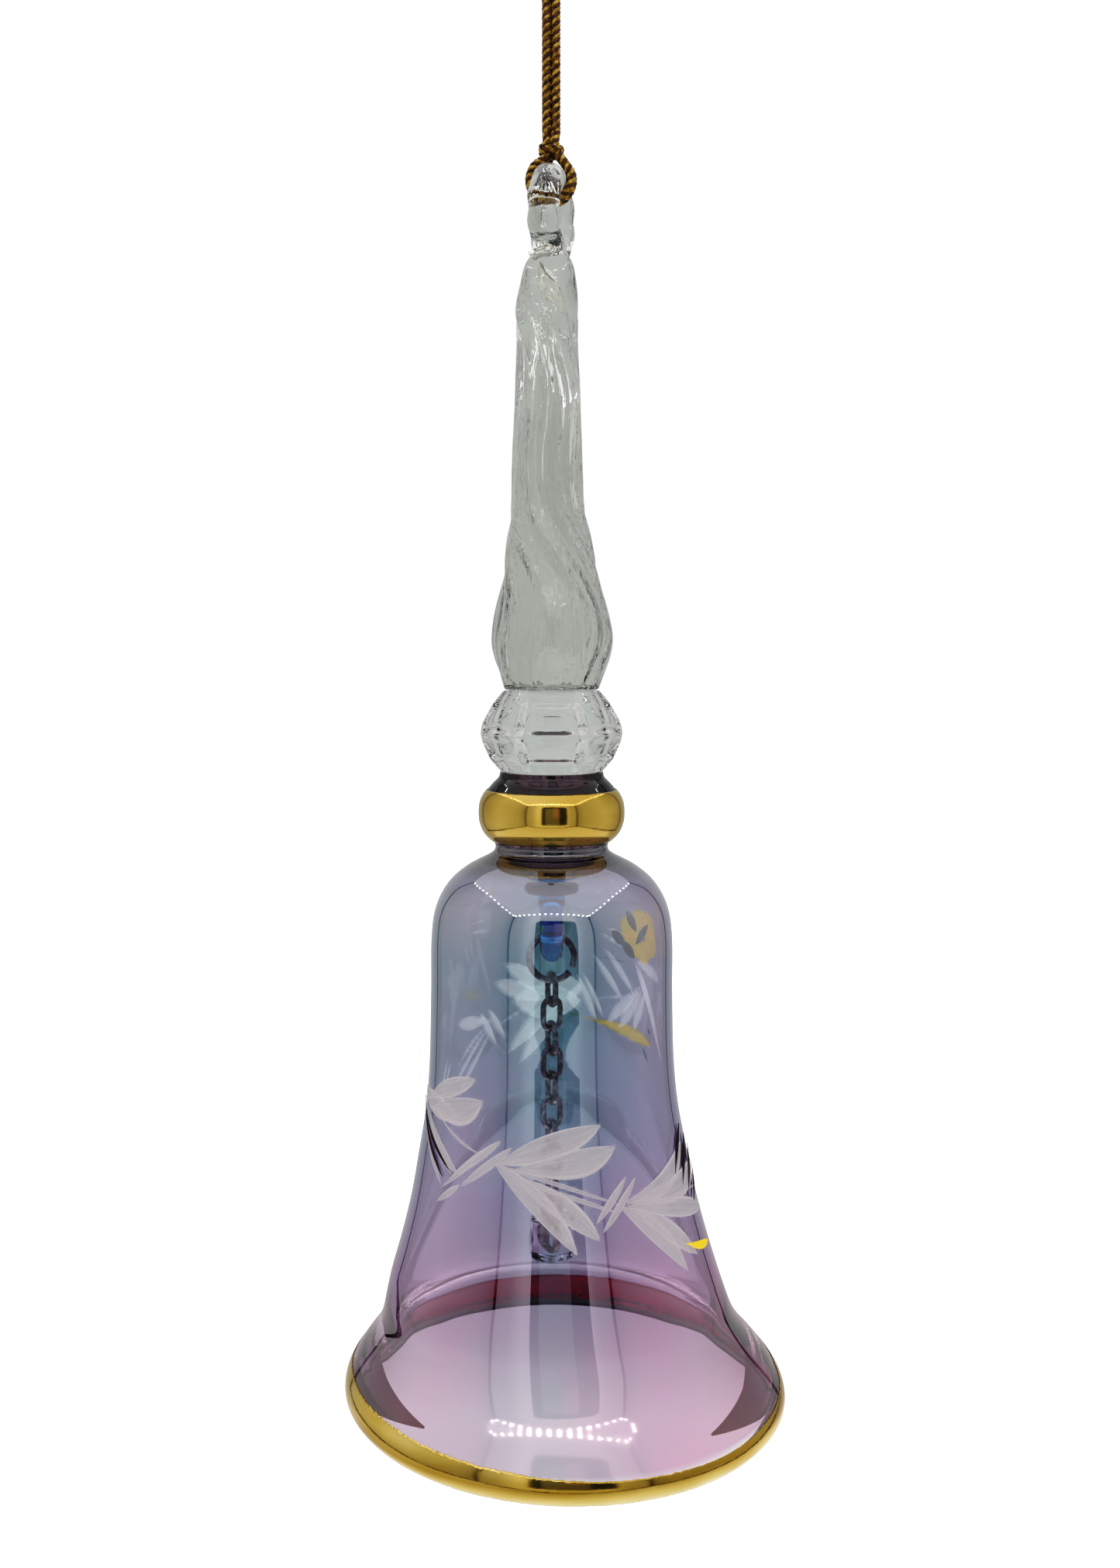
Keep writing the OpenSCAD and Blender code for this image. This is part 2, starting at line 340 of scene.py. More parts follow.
def mixed(tree, factor, a, b, kind="MIX"):
    """Two colours mixed, each a tuple or a socket."""
    a, b = [(*value, 1) if isinstance(value, tuple) else value for value in (a, b)]
    return node(tree, "ShaderNodeMix", {0: factor, 6: a, 7: b}, data_type="RGBA", blend_type=kind).outputs[2]


def times(tree, a, b):
    return mixed(tree, 1.0, a, b, "MULTIPLY")


def blended(tree, share, first, second):
    """Two shaders mixed. share is how much there is of the second: a number or a socket."""
    return node(tree, "ShaderNodeMixShader", {"Fac": share, 1: first, 2: second}).outputs[0]


def show(tree, shader):
    """Makes a shader the one that the material shows."""
    output = next(n for n in tree.nodes if n.type == "OUTPUT_MATERIAL")
    tree.links.new(shader, output.inputs["Surface"])


def facing_away(tree):
    """0 where a surface faces the eye and 1 at its edges."""
    return node(tree, "ShaderNodeLayerWeight", {"Blend": 0.5}).outputs["Facing"]


def clouded(name, stops, scale, detail=2.0, stretch=(1, 1, 1), **values):
    """A Principled material whose colour drifts through stops."""
    m, tree, shader = material(name, **values)
    colour = ramp(tree, noise_value(tree, scale, detail, stretch), stops)
    tree.links.new(colour, shader.inputs["Base Color"])
    return m, tree, shader


GLASS = {"IOR": 1.5, "Transmission_Weight": 1.0}


# ---- camera

camera_data = bpy.data.cameras.new("camera")
camera_data.sensor_width = 36
camera_data.lens = 36.07
camera_data.clip_start = 0.005
camera_data.clip_end = 20
camera = bpy.data.objects.new("camera", camera_data)
camera.location = to_frame([1.0, -186, 91])
camera.rotation_euler = (math.radians(85), 0, 0)
bpy.context.scene.collection.objects.link(camera)
bpy.context.scene.camera = camera


# ---- cord

CORD_D = 1.0
PLIES = 4
PLY_R = 0.27
LAY_R = 0.29
PLY_PITCH = 1.9
CORD_STEP = 0.16
CORD_END = (0.52, 0, -40.3)  # in millimetres of the frame

# the route of part.scad, in millimetres of the frame
cord_half = [
    CORD_END, (0.52, 0, -35), (0.52, 0, -30), (0.52, 0, -25), (0.52, 0, -20.5),
    (0.9, 0, -17), (2, 0, -13.5), (3.3, 0, -10), (4.2, 0, -6.5), (4.3, 0, -3.5),
    (3.3, 0, -1), (1.7, 0, 0.2)]
cord_route = cord_half + [(0, 0, CORD_D / 2)] + [(-x, y, z) for x, y, z in reversed(cord_half)]
cord_route = np.array(cord_route) + (0, 0, HANG_Z)
cord_path = resampled(catmull(cord_route, 6), CORD_STEP)


def thread(name, scale, stops, **values):
    m, tree, shader = clouded(name, stops, scale, 3.0, **values)
    bump(tree, shader, noise_value(tree, 9.0, 2.0), 0.05)
    return m


GOLD_THREAD = thread("gold_thread", 2.2, [(0.30, (0.14, 0.07, 0.010)), (0.48, (0.34, 0.20, 0.035)),
                                          (0.62, (0.58, 0.38, 0.09)), (0.80, (0.80, 0.60, 0.22))],
                     Metallic=0.55, Roughness=0.34)
BROWN_THREAD = thread("brown_thread", 3.0, [(0.35, (0.030, 0.010, 0.003)), (0.6, (0.13, 0.055, 0.010)),
                                            (0.8, (0.34, 0.18, 0.03))], Metallic=0.25, Roughness=0.55)


def plies(path, sides, chosen):
    """The chosen plies of a cord, twisted round its path."""
    u, v = steady_normals(path)
    parts = []
    for k in chosen:
        a = FULL_TURN * (lengths(path) / PLY_PITCH + k / PLIES)
        line = path + LAY_R * (np.cos(a)[:, None] * u + np.sin(a)[:, None] * v)
        parts.append(tube(line, PLY_R, sides))
    return joined(*parts)


def cord_piece(name, paths, body, replaces=(), sides=8):
    """Twisted cord along one or more paths, in gold and brown plies."""
    gold = joined(*[plies(path, sides, (0, 2)) for path in paths])
    brown = joined(*[plies(path, sides, (1, 3)) for path in paths])
    points, faces = joined(gold, brown)
    piece = new_object(name, points, faces)
    two_looks(piece, GOLD_THREAD, BROWN_THREAD, [i >= len(gold[1]) for i in range(len(faces))])
    return finish_piece(piece, None, body, replaces)


hanging_cord = cord_piece("hanging_cord_twisted", [cord_path], "cord", ["hanging_cord"])

# overhand knot: a small trefoil of the same cord round the two strands, and its two tails
KNOT_Z = 170.0
KNOT_SIZE = 0.46
t = np.linspace(0, FULL_TURN, 160)
trefoil = np.stack([KNOT_SIZE * (np.sin(t) + 2 * np.sin(2 * t)),
                    KNOT_SIZE * 1.5 * -np.sin(3 * t),
                    KNOT_Z + KNOT_SIZE * (np.cos(t) - 2 * np.cos(2 * t))], axis=1)
tails = [catmull([(0, side * 0.9, KNOT_Z + 1.0), (0.1 * side, side * 1.5, KNOT_Z + 2.0),
                  (0.15 * side, side * 2.0, KNOT_Z + 3.4)], 8) for side in (-1, 1)]
cord_knot = cord_piece("cord_knot_tied", [resampled(line, CORD_STEP) for line in [trefoil] + tails],
                       "cord", ["cord_knot"], sides=7)

# hitch round the top of the eye: two turns side by side, drawn together in a small whipping
EYE_Z = 141.2
EYE_ROD_R = 1.85
EYE_BEND_R = 3.15
EYE_TURN = math.radians(-15)
HITCH_R = EYE_ROD_R + 0.56
HITCH_TOP_Z = 148.4


def hitch_turn(offset, lean):
    """One turn of cord round the rod: up both sides of it to a point above."""
    turn = np.radians(np.linspace(-166, 166, 60))[::6]
    ring = np.stack([HITCH_R * np.sin(turn), offset + lean * np.sin(turn / 2),
                     EYE_Z + EYE_BEND_R - HITCH_R * np.cos(turn)], axis=1)
    left = [(-0.52, 0.0, HITCH_TOP_Z + 1.3), (-0.4, offset * 0.6, HITCH_TOP_Z - 0.5)]
    right = [(0.4, offset * 0.6, HITCH_TOP_Z - 0.5), (0.52, 0.0, HITCH_TOP_Z + 1.3)]
    path = catmull(np.vstack([left, ring, right]), 10)
    return resampled(turned_about_z(path, EYE_TURN), CORD_STEP)


def whipping(z, radius, turns, rise):
    a = np.linspace(0, FULL_TURN * turns, int(60 * turns))
    return np.stack([radius * np.cos(a), radius * 0.8 * np.sin(a), z + rise * a / FULL_TURN], axis=1)


hitch_paths = [hitch_turn(-0.5, 0.12), hitch_turn(0.5, -0.12),
               resampled(whipping(HITCH_TOP_Z - 1.1, 0.95, 1.6, 0.45), CORD_STEP)]
cord_hitch = cord_piece("cord_hitch_wound", hitch_paths, "hitch", ["cord_hitch"], sides=7)


# ---- bell

# outside of the bell, from the rim up to the foot of the collar: radius, height
bell_outline = [
    (26.0, 0), (26.7, 1.1), (26.5, 2.6), (25.6, 4.2), (24.3, 6), (22.7, 8), (21.5, 10.2), (20.65, 13),
    (19.8, 16), (18.6, 20), (17.3, 25), (16.3, 30), (15.2, 36), (14.65, 42), (14.45, 50),
    (14.4, 56.5), (13.85, 60.2), (12.35, 63), (10.2, 64.9), (7.75, 66.2)]
neck_outline = [(7.75, 66.2), (6.95, 66.75), (6.7, 67.3), (6.8, 67.78)]
WALL = 1.1
LIP_THICKENING = 0.7
DOME_Z = 65.1
BELL_SEGMENTS = 360
GAP = 0.02  # between pieces that touch

bell_curve = catmull(bell_outline, 8)
# the lip was opened by hand: it sits a little to the right and its left side is higher
LIP_SHIFT = 1.3
LIP_RISE = -0.023


def hand_made(points):
    """The bell's slight crookedness, strongest at the lip."""
    p = np.array(points, float)
    lip = 1 - smoothstep(0, 17, p[:, 2])
    body = 1 - smoothstep(12, 48, p[:, 2])
    p[:, 2] += (LIP_RISE * p[:, 0] + 0.010 * p[:, 1]) * lip
    p[:, 0] += LIP_SHIFT * lip + 0.35 * body
    return p


def bell_shape(a, r, z):
    """The slow unevenness of blown glass."""
    wave = 0.035 * (np.sin(2 * a + z / 9) + 0.6 * np.sin(3 * a - z / 6.3))
    return r + smoothstep(0, 8, z) * smoothstep(66, 58, z) * wave * np.minimum(1, r / 8)


bell_surface = surface_on(bell_curve, bell_shape, hand_made)

wall = WALL + LIP_THICKENING * (1 - smoothstep(1.5, 15, bell_curve[:, 1]))
inside = [p for p in beside(bell_curve, -wall[:, None]) if 0.9 < p[1] < DOME_Z]
lip_foot = catmull([inside[0], inside[0] + (0.15, -0.75), (25.0 - LIP_THICKENING * 0.5, -0.08),
                    bell_curve[0]], 6)[1:-1]
inner_surface = surface_on(inside, bell_shape, hand_made)
fine_curve = resampled(bell_curve, 0.45)
shell_outline = (list(fine_curve) + list(catmull(neck_outline, 5)[1:])
                 + [(0, neck_outline[-1][1]), (0, DOME_Z), (inside[-1][0] - 0.6, DOME_Z)]
                 + inside[::-1] + list(lip_foot))


# ---- painted garland

# Places on the bell are (angle in degrees from the front towards the right, height).
# A petal is (base, tip, width to its left, width to its right, bend, widest point from 0 to 1).

def bell_radius(z):
    order = np.argsort(bell_curve[:, 1], kind="stable")
    return float(np.interp(z, bell_curve[order, 1], bell_curve[order, 0]))


def petal_axes(base, tip):
    """A petal's base, the way to its tip and the normal to that, on the bell rolled out flat."""
    per_degree = bell_radius((base[1] + tip[1]) / 2) * math.pi / 180
    a = np.array([base[0] * per_degree, base[1]])
    along = np.array([tip[0] * per_degree, tip[1]]) - a
    return a, along, np.array([-along[1], along[0]]) / np.linalg.norm(along), per_degree


def petal_width(t, widest):
    """A petal's width from 0 to 1 along it, with its greatest value at widest."""
    t = np.clip(t, 0, 1)
    peak = widest / (1 - widest)
    return (t / widest)**(0.85 * peak) * ((1 - t) / (1 - widest))**0.85


def ground_by(angle, z, base, tip, left, right, bend=0.0, widest=0.6):
    """1 at the places that a petal covers and 0 at the others."""
    a, along, normal, per_degree = petal_axes(base, tip)
    middle = (base[0] + tip[0]) / 2
    turns = (angle - middle + 180) % 360 - 180 + middle
    flat = np.stack([turns * per_degree, z], axis=1) - a
    t = flat @ along / (along @ along)
    s = flat @ normal - bend * np.sin(math.pi * np.clip(t, 0, 1))
    width = petal_width(t, widest) * np.where(s > 0, left, right)
    return np.clip((width - np.abs(s)) / 0.25, 0, 1) * ((t > 0) & (t < 1))


front_leaves = [
    # the fan at the left
    ((-88, 38.4), (-44, 37.2), 1.4, 1.2), ((-76, 37.6), (-36, 42.2), 0.9, 1.3, 0.3, 0.62),
    ((-72, 37), (-32, 39.9), 0.5, 2.7, 0.3, 0.66),
    ((-84, 38.2), (-51, 29.5), 0.45, 0.35, -0.3), ((-78, 37.2), (-45.5, 31), 0.35, 0.35, -0.2),
    ((-72, 36.6), (-42, 31.3), 0.45, 0.75, -0.1),
    ((-57, 36.6), (-31, 33.9), 0.18, 0.18, -0.2, 0.5),
    # the binding
    ((-22, 35.8), (-46, 30.6), 0.5, 0.5, 0, 0.45), ((-17, 35.2), (-40, 30), 0.5, 0.5, 0, 0.45),
    ((-27, 35), (-50, 29.3), 0.35, 0.35, 0, 0.5), ((-40, 30.2), (-52, 27.6), 0.4, 0.4, 0, 0.5),
    # two leaves up and two down
    ((-24, 33.2), (21, 37.6), 0.8, 2.1, 0.6, 0.55), ((-18, 32.7), (27, 35), 0.7, 2.4, 0.3, 0.62),
    ((-24, 33.2), (8.5, 23.9), 2, 0.5, 0.3, 0.5), ((-15, 32.2), (17.5, 25.2), 1.7, 0.8, 0.2, 0.55),
    ((-26, 33.4), (27, 28.7), 0.24, 0.24, 0.5, 0.5), ((-12, 31.6), (26, 27.8), 0.26, 0.26, 0.3, 0.5),
    # the second binding
    ((31, 31.6), (16.5, 27), 0.45, 0.45, 0, 0.5), ((35.5, 31.3), (19, 26), 0.45, 0.45, 0, 0.5),
    # the spray at the right
    ((27, 28.8), (72, 32.8), 1, 1.5, -0.9, 0.6), ((30, 28.6), (88, 29.4), 1.3, 1.6, -0.4, 0.6),
    ((30, 28.4), (84, 24), 1.2, 1.1, 0.2, 0.55), ((27, 28.4), (55, 19.4), 2, 0.5, 0.2, 0.5),
    ((32, 28.2), (64, 20.4), 1.4, 0.9, 0.1, 0.55), ((30, 28.7), (86, 26.6), 0.13, 0.13, 0.2, 0.5)]
back_leaves = [
    # the stems that lead from the fan at the left to the far side
    ((-121, 36.6), (-84, 38.2), 0.35, 0.35, 0.3, 0.5), ((-120, 35.4), (-82, 37.2), 0.25, 0.3, 0.2, 0.5),
    ((-98, 36.2), (-107, 40.6), 0.5, 0.5, 0, 0.5), ((-103, 35.6), (-112, 39.8), 0.5, 0.5, 0, 0.5),
    ((-146, 43.4), (-119, 44.2), 0.5, 1.3, 0.2), ((-145, 42.9), (-118, 36), 0.35, 0.45, 0.2),
    ((-146, 42.2), (-123, 35), 0.35, 0.55, 0.1), ((-145, 43.2), (-121, 38.6), 0.3, 0.3, 0.3),
    ((-137.5, 44.7), (-148.5, 40), 0.55, 0.55, 0, 0.45),
    ((-143, 45), (-154, 40.6), 0.55, 0.55, 0, 0.45), ((-150, 42.6), (-167, 44.9), 0.2, 0.2, 0, 0.5),
    ((-182, 45.6), (-152, 50.6), 1.3, 1, 0.1, 0.55), ((-181, 45.4), (-147, 48.3), 1, 1.4, 0.1, 0.6),
    ((-186, 46.4), (-155.5, 38.8), 1.2, 1, 0, 0.5), ((-188, 46), (-162, 37.2), 1.2, 0.9, 0, 0.5),
    ((-158, 45.6), (-195, 45.6), 2.6, 2, 0, 0.5), ((-170, 47), (-196, 47.2), 1.6, 1.8, 0, 0.6),
    ((167, 49), (155.5, 42.8), 0.65, 0.5, 0, 0.5), ((164, 49.2), (152, 43.6), 0.45, 0.5, 0, 0.5),
    ((156, 46), (128, 47.3), 0.18, 0.18, 0, 0.5),
    ((158, 51.7), (139, 46.2), 0.55, 0.55, 0, 0.5), ((151, 52.6), (131, 47.6), 0.6, 0.55, 0, 0.5),
    ((153, 54.4), (139, 53.2), 0.3, 0.25, 0, 0.5), ((150, 55.4), (136, 54.4), 0.28, 0.25, 0, 0.5),
    ((121, 49.4), (149.5, 43), 1, 0.6, 0, 0.65), ((120, 49.2), (142, 42.6), 0.9, 0.7, 0, 0.65),
    ((118, 49.2), (132, 42.6), 0.8, 0.7, 0, 0.6), ((130, 51.8), (104, 43.6), 0.8, 0.6, 0.2, 0.5),
    ((126, 51.2), (97, 40.4), 0.8, 0.8, 0.3, 0.55), ((128, 51.6), (98, 50.4), 0.8, 0.9, 0, 0.5),
    ((-130, 56.2), (-142, 56.6), 0.12, 0.12, 0, 0.5), ((-130.5, 55.1), (-143.5, 55), 0.2, 0.2, 0, 0.5)]
dark_strokes = [
    # painted shade: two dark blades in the fan at the left, where it turns away
    ((-83, 37.6), (-50.5, 30.4), 0.28, 0.22, -0.2), ((-78, 36.6), (-47, 31.4), 0.22, 0.2, -0.1),
    # painted shade: four dark strokes at the tips of the spray at the right, where it turns away
    ((60, 30), (74, 34.8), 0.4, 0.5, 0.3, 0.6), ((65, 28.4), (80, 33.2), 0.5, 0.6, 0.2, 0.6),
    ((70, 27.2), (86, 31.4), 0.5, 0.6, 0.2, 0.6), ((74, 25.6), (88, 28.6), 0.5, 0.5, 0, 0.6),
    ((118.5, 43.6), (115, 43), 0.25, 0.25, 0, 0.5), ((124, 40.8), (120, 39.3), 0.3, 0.3, 0, 0.5),
    ((152, 51.4), (137, 51.2), 0.08, 0.08, 0, 0.5)]
flower_dark = [
    ((135.5, 58.2), (128, 55.4), 0.75, 0.75, 0, 0.5), ((146, 55), (137.5, 53.4), 0.7, 0.7, 0, 0.5),
    ((139.5, 53.8), (129, 52), 0.75, 0.7, 0, 0.5), ((128.5, 53.8), (116, 56.8), 0.55, 0.55, 0, 0.5)]
FLOWER = (123.0, 55.2)
yellow_petals = [((FLOWER[0] + 2 * math.cos(a), FLOWER[1] + 0.4 * math.sin(a)),
                  (FLOWER[0] + 19 * math.cos(a), FLOWER[1] + 3.6 * math.sin(a)), 1.9, 1.9, 0.0, 0.6)
                 for a in np.arange(6) * FULL_TURN / 6 + 0.3]
yellow_bud = [((171, 43.8), (115, 41.6), 0.85, 0.95, 0.15, 0.72),
              ((57, 22.3), (80, 20.2), 0.45, 0.5, -0.3, 0.6)]

# ---- the bell's glass

def gold_height(a):
    """Height of the gilding's upper edge on the lip, from the angle in radians."""
    front = np.clip(np.cos(a), 0, 1)
    return 3.8 - 0.75 * np.cos(a) - 1.0 * np.sin(a) * front**0.5


def lustre(tree):
    """A mirror that is pink at the lip and pale blue above."""
    rough = ramp(tree, height(tree, 0, 10), [(0.0, 0.16), (0.55, 0.12), (1.0, 0.02)])
    hue = ramp(tree, height(tree, 0, 68), [
        (0.00, (1.00, 0.83, 0.85)), (0.12, (1.00, 0.80, 0.86)), (0.24, (1.00, 0.70, 0.92)),
        (0.36, (0.90, 0.82, 1.00)), (0.60, (0.74, 0.86, 1.00)), (0.80, (0.86, 0.90, 1.00)),
        (0.92, (1.00, 0.90, 0.98)), (1.00, (1.00, 0.92, 0.96))])
    drift = ramp(tree, noise_value(tree, 0.045, 2.0, (1, 1, 0.5)),
                 [(0.3, (0.86, 1.0, 1.06)), (0.5, 1), (0.7, (1.10, 0.93, 0.98))])
    hue = times(tree, hue, drift)
    return node(tree, "ShaderNodeBsdfGlossy", {"Color": hue, "Roughness": rough}).outputs[0]


def iridescent_glass():
    """Blue-violet glass under a lustre, ground clear at the garland."""
    m, tree, shader = material("iridescent_glass", Roughness=0.012, **GLASS)
    tint = ramp(tree, height(tree, 0, 68), [
        (0.00, (0.63, 0.55, 0.61)), (0.15, (0.59, 0.52, 0.60)), (0.25, (0.55, 0.47, 0.61)),
        (0.40, (0.52, 0.53, 0.64)), (0.60, (0.48, 0.57, 0.63)), (0.85, (0.45, 0.56, 0.60)),
        (0.94, (0.54, 0.58, 0.64)), (0.97, (0.26, 0.22, 0.24)), (1.00, (0.22, 0.19, 0.20))])
    cloud = ramp(tree, noise_value(tree, 0.05), [(0.35, (0.93, 1.0, 1.02)), (0.65, (1.07, 0.96, 1.02))])
    # painted sheen: the lustre's shift of colour where the wall is seen at a slant, bluer in the middle and
    # pinker towards both sides, most at the right
    painted_slant_sheen = ramp(tree, height(tree, -22, 22, "X"), [
        (0.0, (1.0, 0.96, 1.04)), (0.25, (1.03, 0.95, 1.02)), (0.5, (0.90, 1.04, 1.02)),
        (0.78, (1.08, 0.86, 1.0)), (1.0, (1.12, 0.84, 0.96))])
    wall = times(tree, times(tree, tint, cloud), painted_slant_sheen)
    clear = node(tree, "ShaderNodeAttribute", attribute_name="etched").outputs["Fac"]
    wall = mixed(tree, clear, wall, (0.97, 0.98, 1.0))
    # only the outer face is tinted, and glass tints by the root at each face: hence the square
    tree.links.new(times(tree, wall, wall), shader.inputs["Base Color"])
    share = ramp(tree, facing_away(tree), [(0.0, 0.15), (0.5, 0.18), (0.8, 0.30), (1.0, 0.62)])
    by_height = ramp(tree, height(tree, 0, 68), [(0.0, 0.9), (0.16, 0.9), (0.28, 1.05), (0.5, 0.8),
                                                 (0.8, 0.85), (0.90, 1.6), (0.97, 0.7)])
    share = mixed(tree, clear, times(tree, share, by_height), (0.02, 0.02, 0.02))
    show(tree, blended(tree, share, shader.outputs[0], lustre(tree)))
    return m


IRIDESCENT = iridescent_glass()
BARE = material("bare_glass", Roughness=0.01, Base_Color=(1, 1, 1, 1), **GLASS)[0]
points, faces = turned(shell_outline, BELL_SEGMENTS, bell_shape)
bell = new_object("blown_bell", hand_made(points), faces)


def is_inner(polygon):
    """True for a polygon of the bell's hollow side."""
    up = polygon.normal.z
    z = polygon.center.z / MM + HANG_Z
    dome = up < -0.6 and z > 40
    lip = up < 0 and z < 1.5
    return dome or lip or (faces_inwards(polygon) and z < DOME_Z)


two_looks(bell, IRIDESCENT, BARE, [is_inner(p) for p in bell.data.polygons])
places = np.array([v.co for v in bell.data.vertices]) / MM + (0, 0, HANG_Z)
place_angle = np.degrees(np.arctan2(places[:, 0] - 0.3, -places[:, 1]))
ground = [ground_by(place_angle, places[:, 2], *petal)
          for petal in front_leaves + back_leaves + yellow_petals + yellow_bud]
ground.append(np.clip((gold_height(np.radians(place_angle)) - 0.2 - places[:, 2]) / 0.3, 0, 1))
layer = bell.data.attributes.new("etched", "FLOAT", "POINT")
layer.data.foreach_set("value", np.max(ground, axis=0))
finish_piece(bell, None, "bell", ["bell_shell", "lower_neck"])


# ---- gilding

def polished_gold():
    m, tree, shader = material("polished_gold", Metallic=1.0, Roughness=0.11)
    colour = ramp(tree, noise_value(tree, 0.12, 2.0, (1, 1, 2.5)),
                  [(0.3, (0.60, 0.41, 0.10)), (0.55, (0.70, 0.50, 0.15)), (0.8, (0.76, 0.57, 0.20))])
    # painted reflection: bands up the lip's gold, pale and bluish at its foot, dark a little higher and
    # bright again above, standing in for the floor, a dark strip and the tent's walls mirrored in the rounded
    # lip
    painted_reflection_bands = ramp(tree, height(tree, 0, 8), [
        (0.0, (1.25, 1.5, 2.4)), (0.10, (1.1, 1.15, 1.3)), (0.20, (0.62, 0.55, 0.4)),
        (0.30, (0.72, 0.68, 0.6)), (0.42, (1.1, 1.12, 1.2)), (1.0, (0.9, 0.86, 0.8))])
    tree.links.new(times(tree, colour, painted_reflection_bands), shader.inputs["Base Color"])
    bump(tree, shader, noise_value(tree, 1.2, 2.0, (1, 1, 6)), 0.006, 0.5)
    return m


GOLD = polished_gold()
GOLD_BACK = clouded("gold_from_behind", [(0.3, (0.14, 0.004, 0.020)), (0.6, (0.22, 0.008, 0.034)),
                                         (0.8, (0.28, 0.014, 0.05))],
                    0.25, 3.0, Metallic=1.0, Roughness=0.10)[0]


def brushed_edge(angle, size, seed):
    """Ragged edge left by a brush, round the bell: how far it reaches, in millimetres."""
    reach = []
    for a in angle:
        x, y = math.cos(a), math.sin(a)
        slow = noise.noise(Vector((3 * x, 3 * y, seed)))
        fine = noise.noise(Vector((38 * x, 38 * y, seed + 5)))
        tooth = noise.noise(Vector((90 * x, 90 * y, seed + 9)))
        patch = max(0.0, noise.noise(Vector((2 * x, 2 * y, seed + 13))) + 0.25)
        reach.append(size * (0.5 * slow + patch * (0.9 * fine + 0.7 * tooth)))
    return np.array(reach)


def gold_band(name, surface, low, high, thickness, rows, replaces):
    """A thin closed skin between two edges given for each angle."""
    angle = np.arange(len(low)) * 360.0 / len(low)
    outer, inner = [], []
    for i in range(rows):
        z = low + (high - low) * i / (rows - 1)
        lift = thickness * (1.0 if 0 < i < rows - 1 else 0.7)
        outer.append(surface(angle, z, GAP + lift))
        inner.append(surface(angle, z, GAP))
    piece = new_object(name, np.vstack(outer + inner[::-1]), grid_faces(2 * rows, len(low), closed_rows=True))
    two_looks(piece, GOLD, GOLD_BACK, [faces_inwards(p) for p in piece.data.polygons])
    return finish_piece(piece, None, "bell", replaces)


BAND_SEGMENTS = 1440
band_angle = np.arange(BAND_SEGMENTS) * FULL_TURN / BAND_SEGMENTS
gold_band("gilded_lip", bell_surface, 0.03 + np.maximum(0, brushed_edge(band_angle, 0.4, 2.0)),
          gold_height(band_angle) + brushed_edge(band_angle, 0.30, 7.0), 0.05, 16, ["rim_gilding"])


def inner_stroke(name, first, last, low, high, seed, ragged=0.0, columns=290):
    """A dark maroon stroke inside the lip, from first to last degrees."""
    t = np.linspace(0, 1, columns)
    angle = first + (last - first) * t
    turn = np.radians(angle)
    z0 = np.interp(t, np.linspace(0, 1, len(low)), low) + brushed_edge(turn, ragged, seed)
    z1 = np.interp(t, np.linspace(0, 1, len(high)), high) + brushed_edge(turn, 0.8 * ragged, seed + 3)
    rows = []
    for depth, order in ((2 * GAP, np.linspace(0, 1, 8)), (3 * GAP, np.linspace(1, 0, 8))):
        rows += [inner_surface(angle, z0 + (z1 - z0) * k, -depth) for k in order]
    faces = grid_faces(16, columns, closed_rows=True, closed_columns=False)
    ends = [tuple(columns * k for k in range(16)), tuple(columns * k - 1 for k in range(16, 0, -1))]
    return finish_piece(new_object(name, np.vstack(rows), faces + ends), GOLD_BACK, "bell")


# dark maroon strokes inside the lip: round the back, and a wedge at each side
inner_stroke("lip_stroke_back", 108, 252, (1.6, 0.9, 0.9, 0.9, 1.6), (4.8, 4.9, 5.0, 4.9, 4.8), 3, 0.8, 600)
inner_stroke("lip_stroke_left", -104, -40, (1.2, 1.5, 2.5, 4.0), (8.8, 7.8, 5.8, 4.2), 1)
inner_stroke("lip_stroke_right", 104, 42, (1.2, 1.5, 2.3, 3.6), (8.8, 7.5, 5.3, 3.8), 2)


# ---- collar and upper neck

collar_outline = [(6.8, 67.82), (7.95, 68.95), (8.5, 70.2), (8.62, 71.4), (8.5, 72.6), (8.1, 73.55),
                  (7.5, 74.3)]
upper_neck_outline = [(7.5, 74.3), (6.9, 75.0), (6.3, 75.6), (6.15, 76.2)]
collar_curve = catmull(collar_outline, 6)
COLLAR_BORE = 4.4
VIOLET = clouded("violet_glass", [(0.3, (0.172, 0.112, 0.138)), (0.7, (0.22, 0.143, 0.176))],
                 0.25, 2.0, (1, 1, 0.4), Roughness=0.02, **GLASS)[0]
collar_body = list(collar_curve) + list(catmull(upper_neck_outline, 5)[1:])
points, faces = turned(collar_body + [(COLLAR_BORE, 76.2), (COLLAR_BORE, 67.82)], 192)
finish_piece(new_object("collar_and_neck", points, faces), VIOLET, "bell",
             ["collar", "upper_neck"])

gold_band("gilded_collar", surface_on(collar_curve), np.full(288, 68.1), np.full(288, 74.1), 0.07, 40,
          ["collar_gilding"])


# ---- enamel and etching of the garland

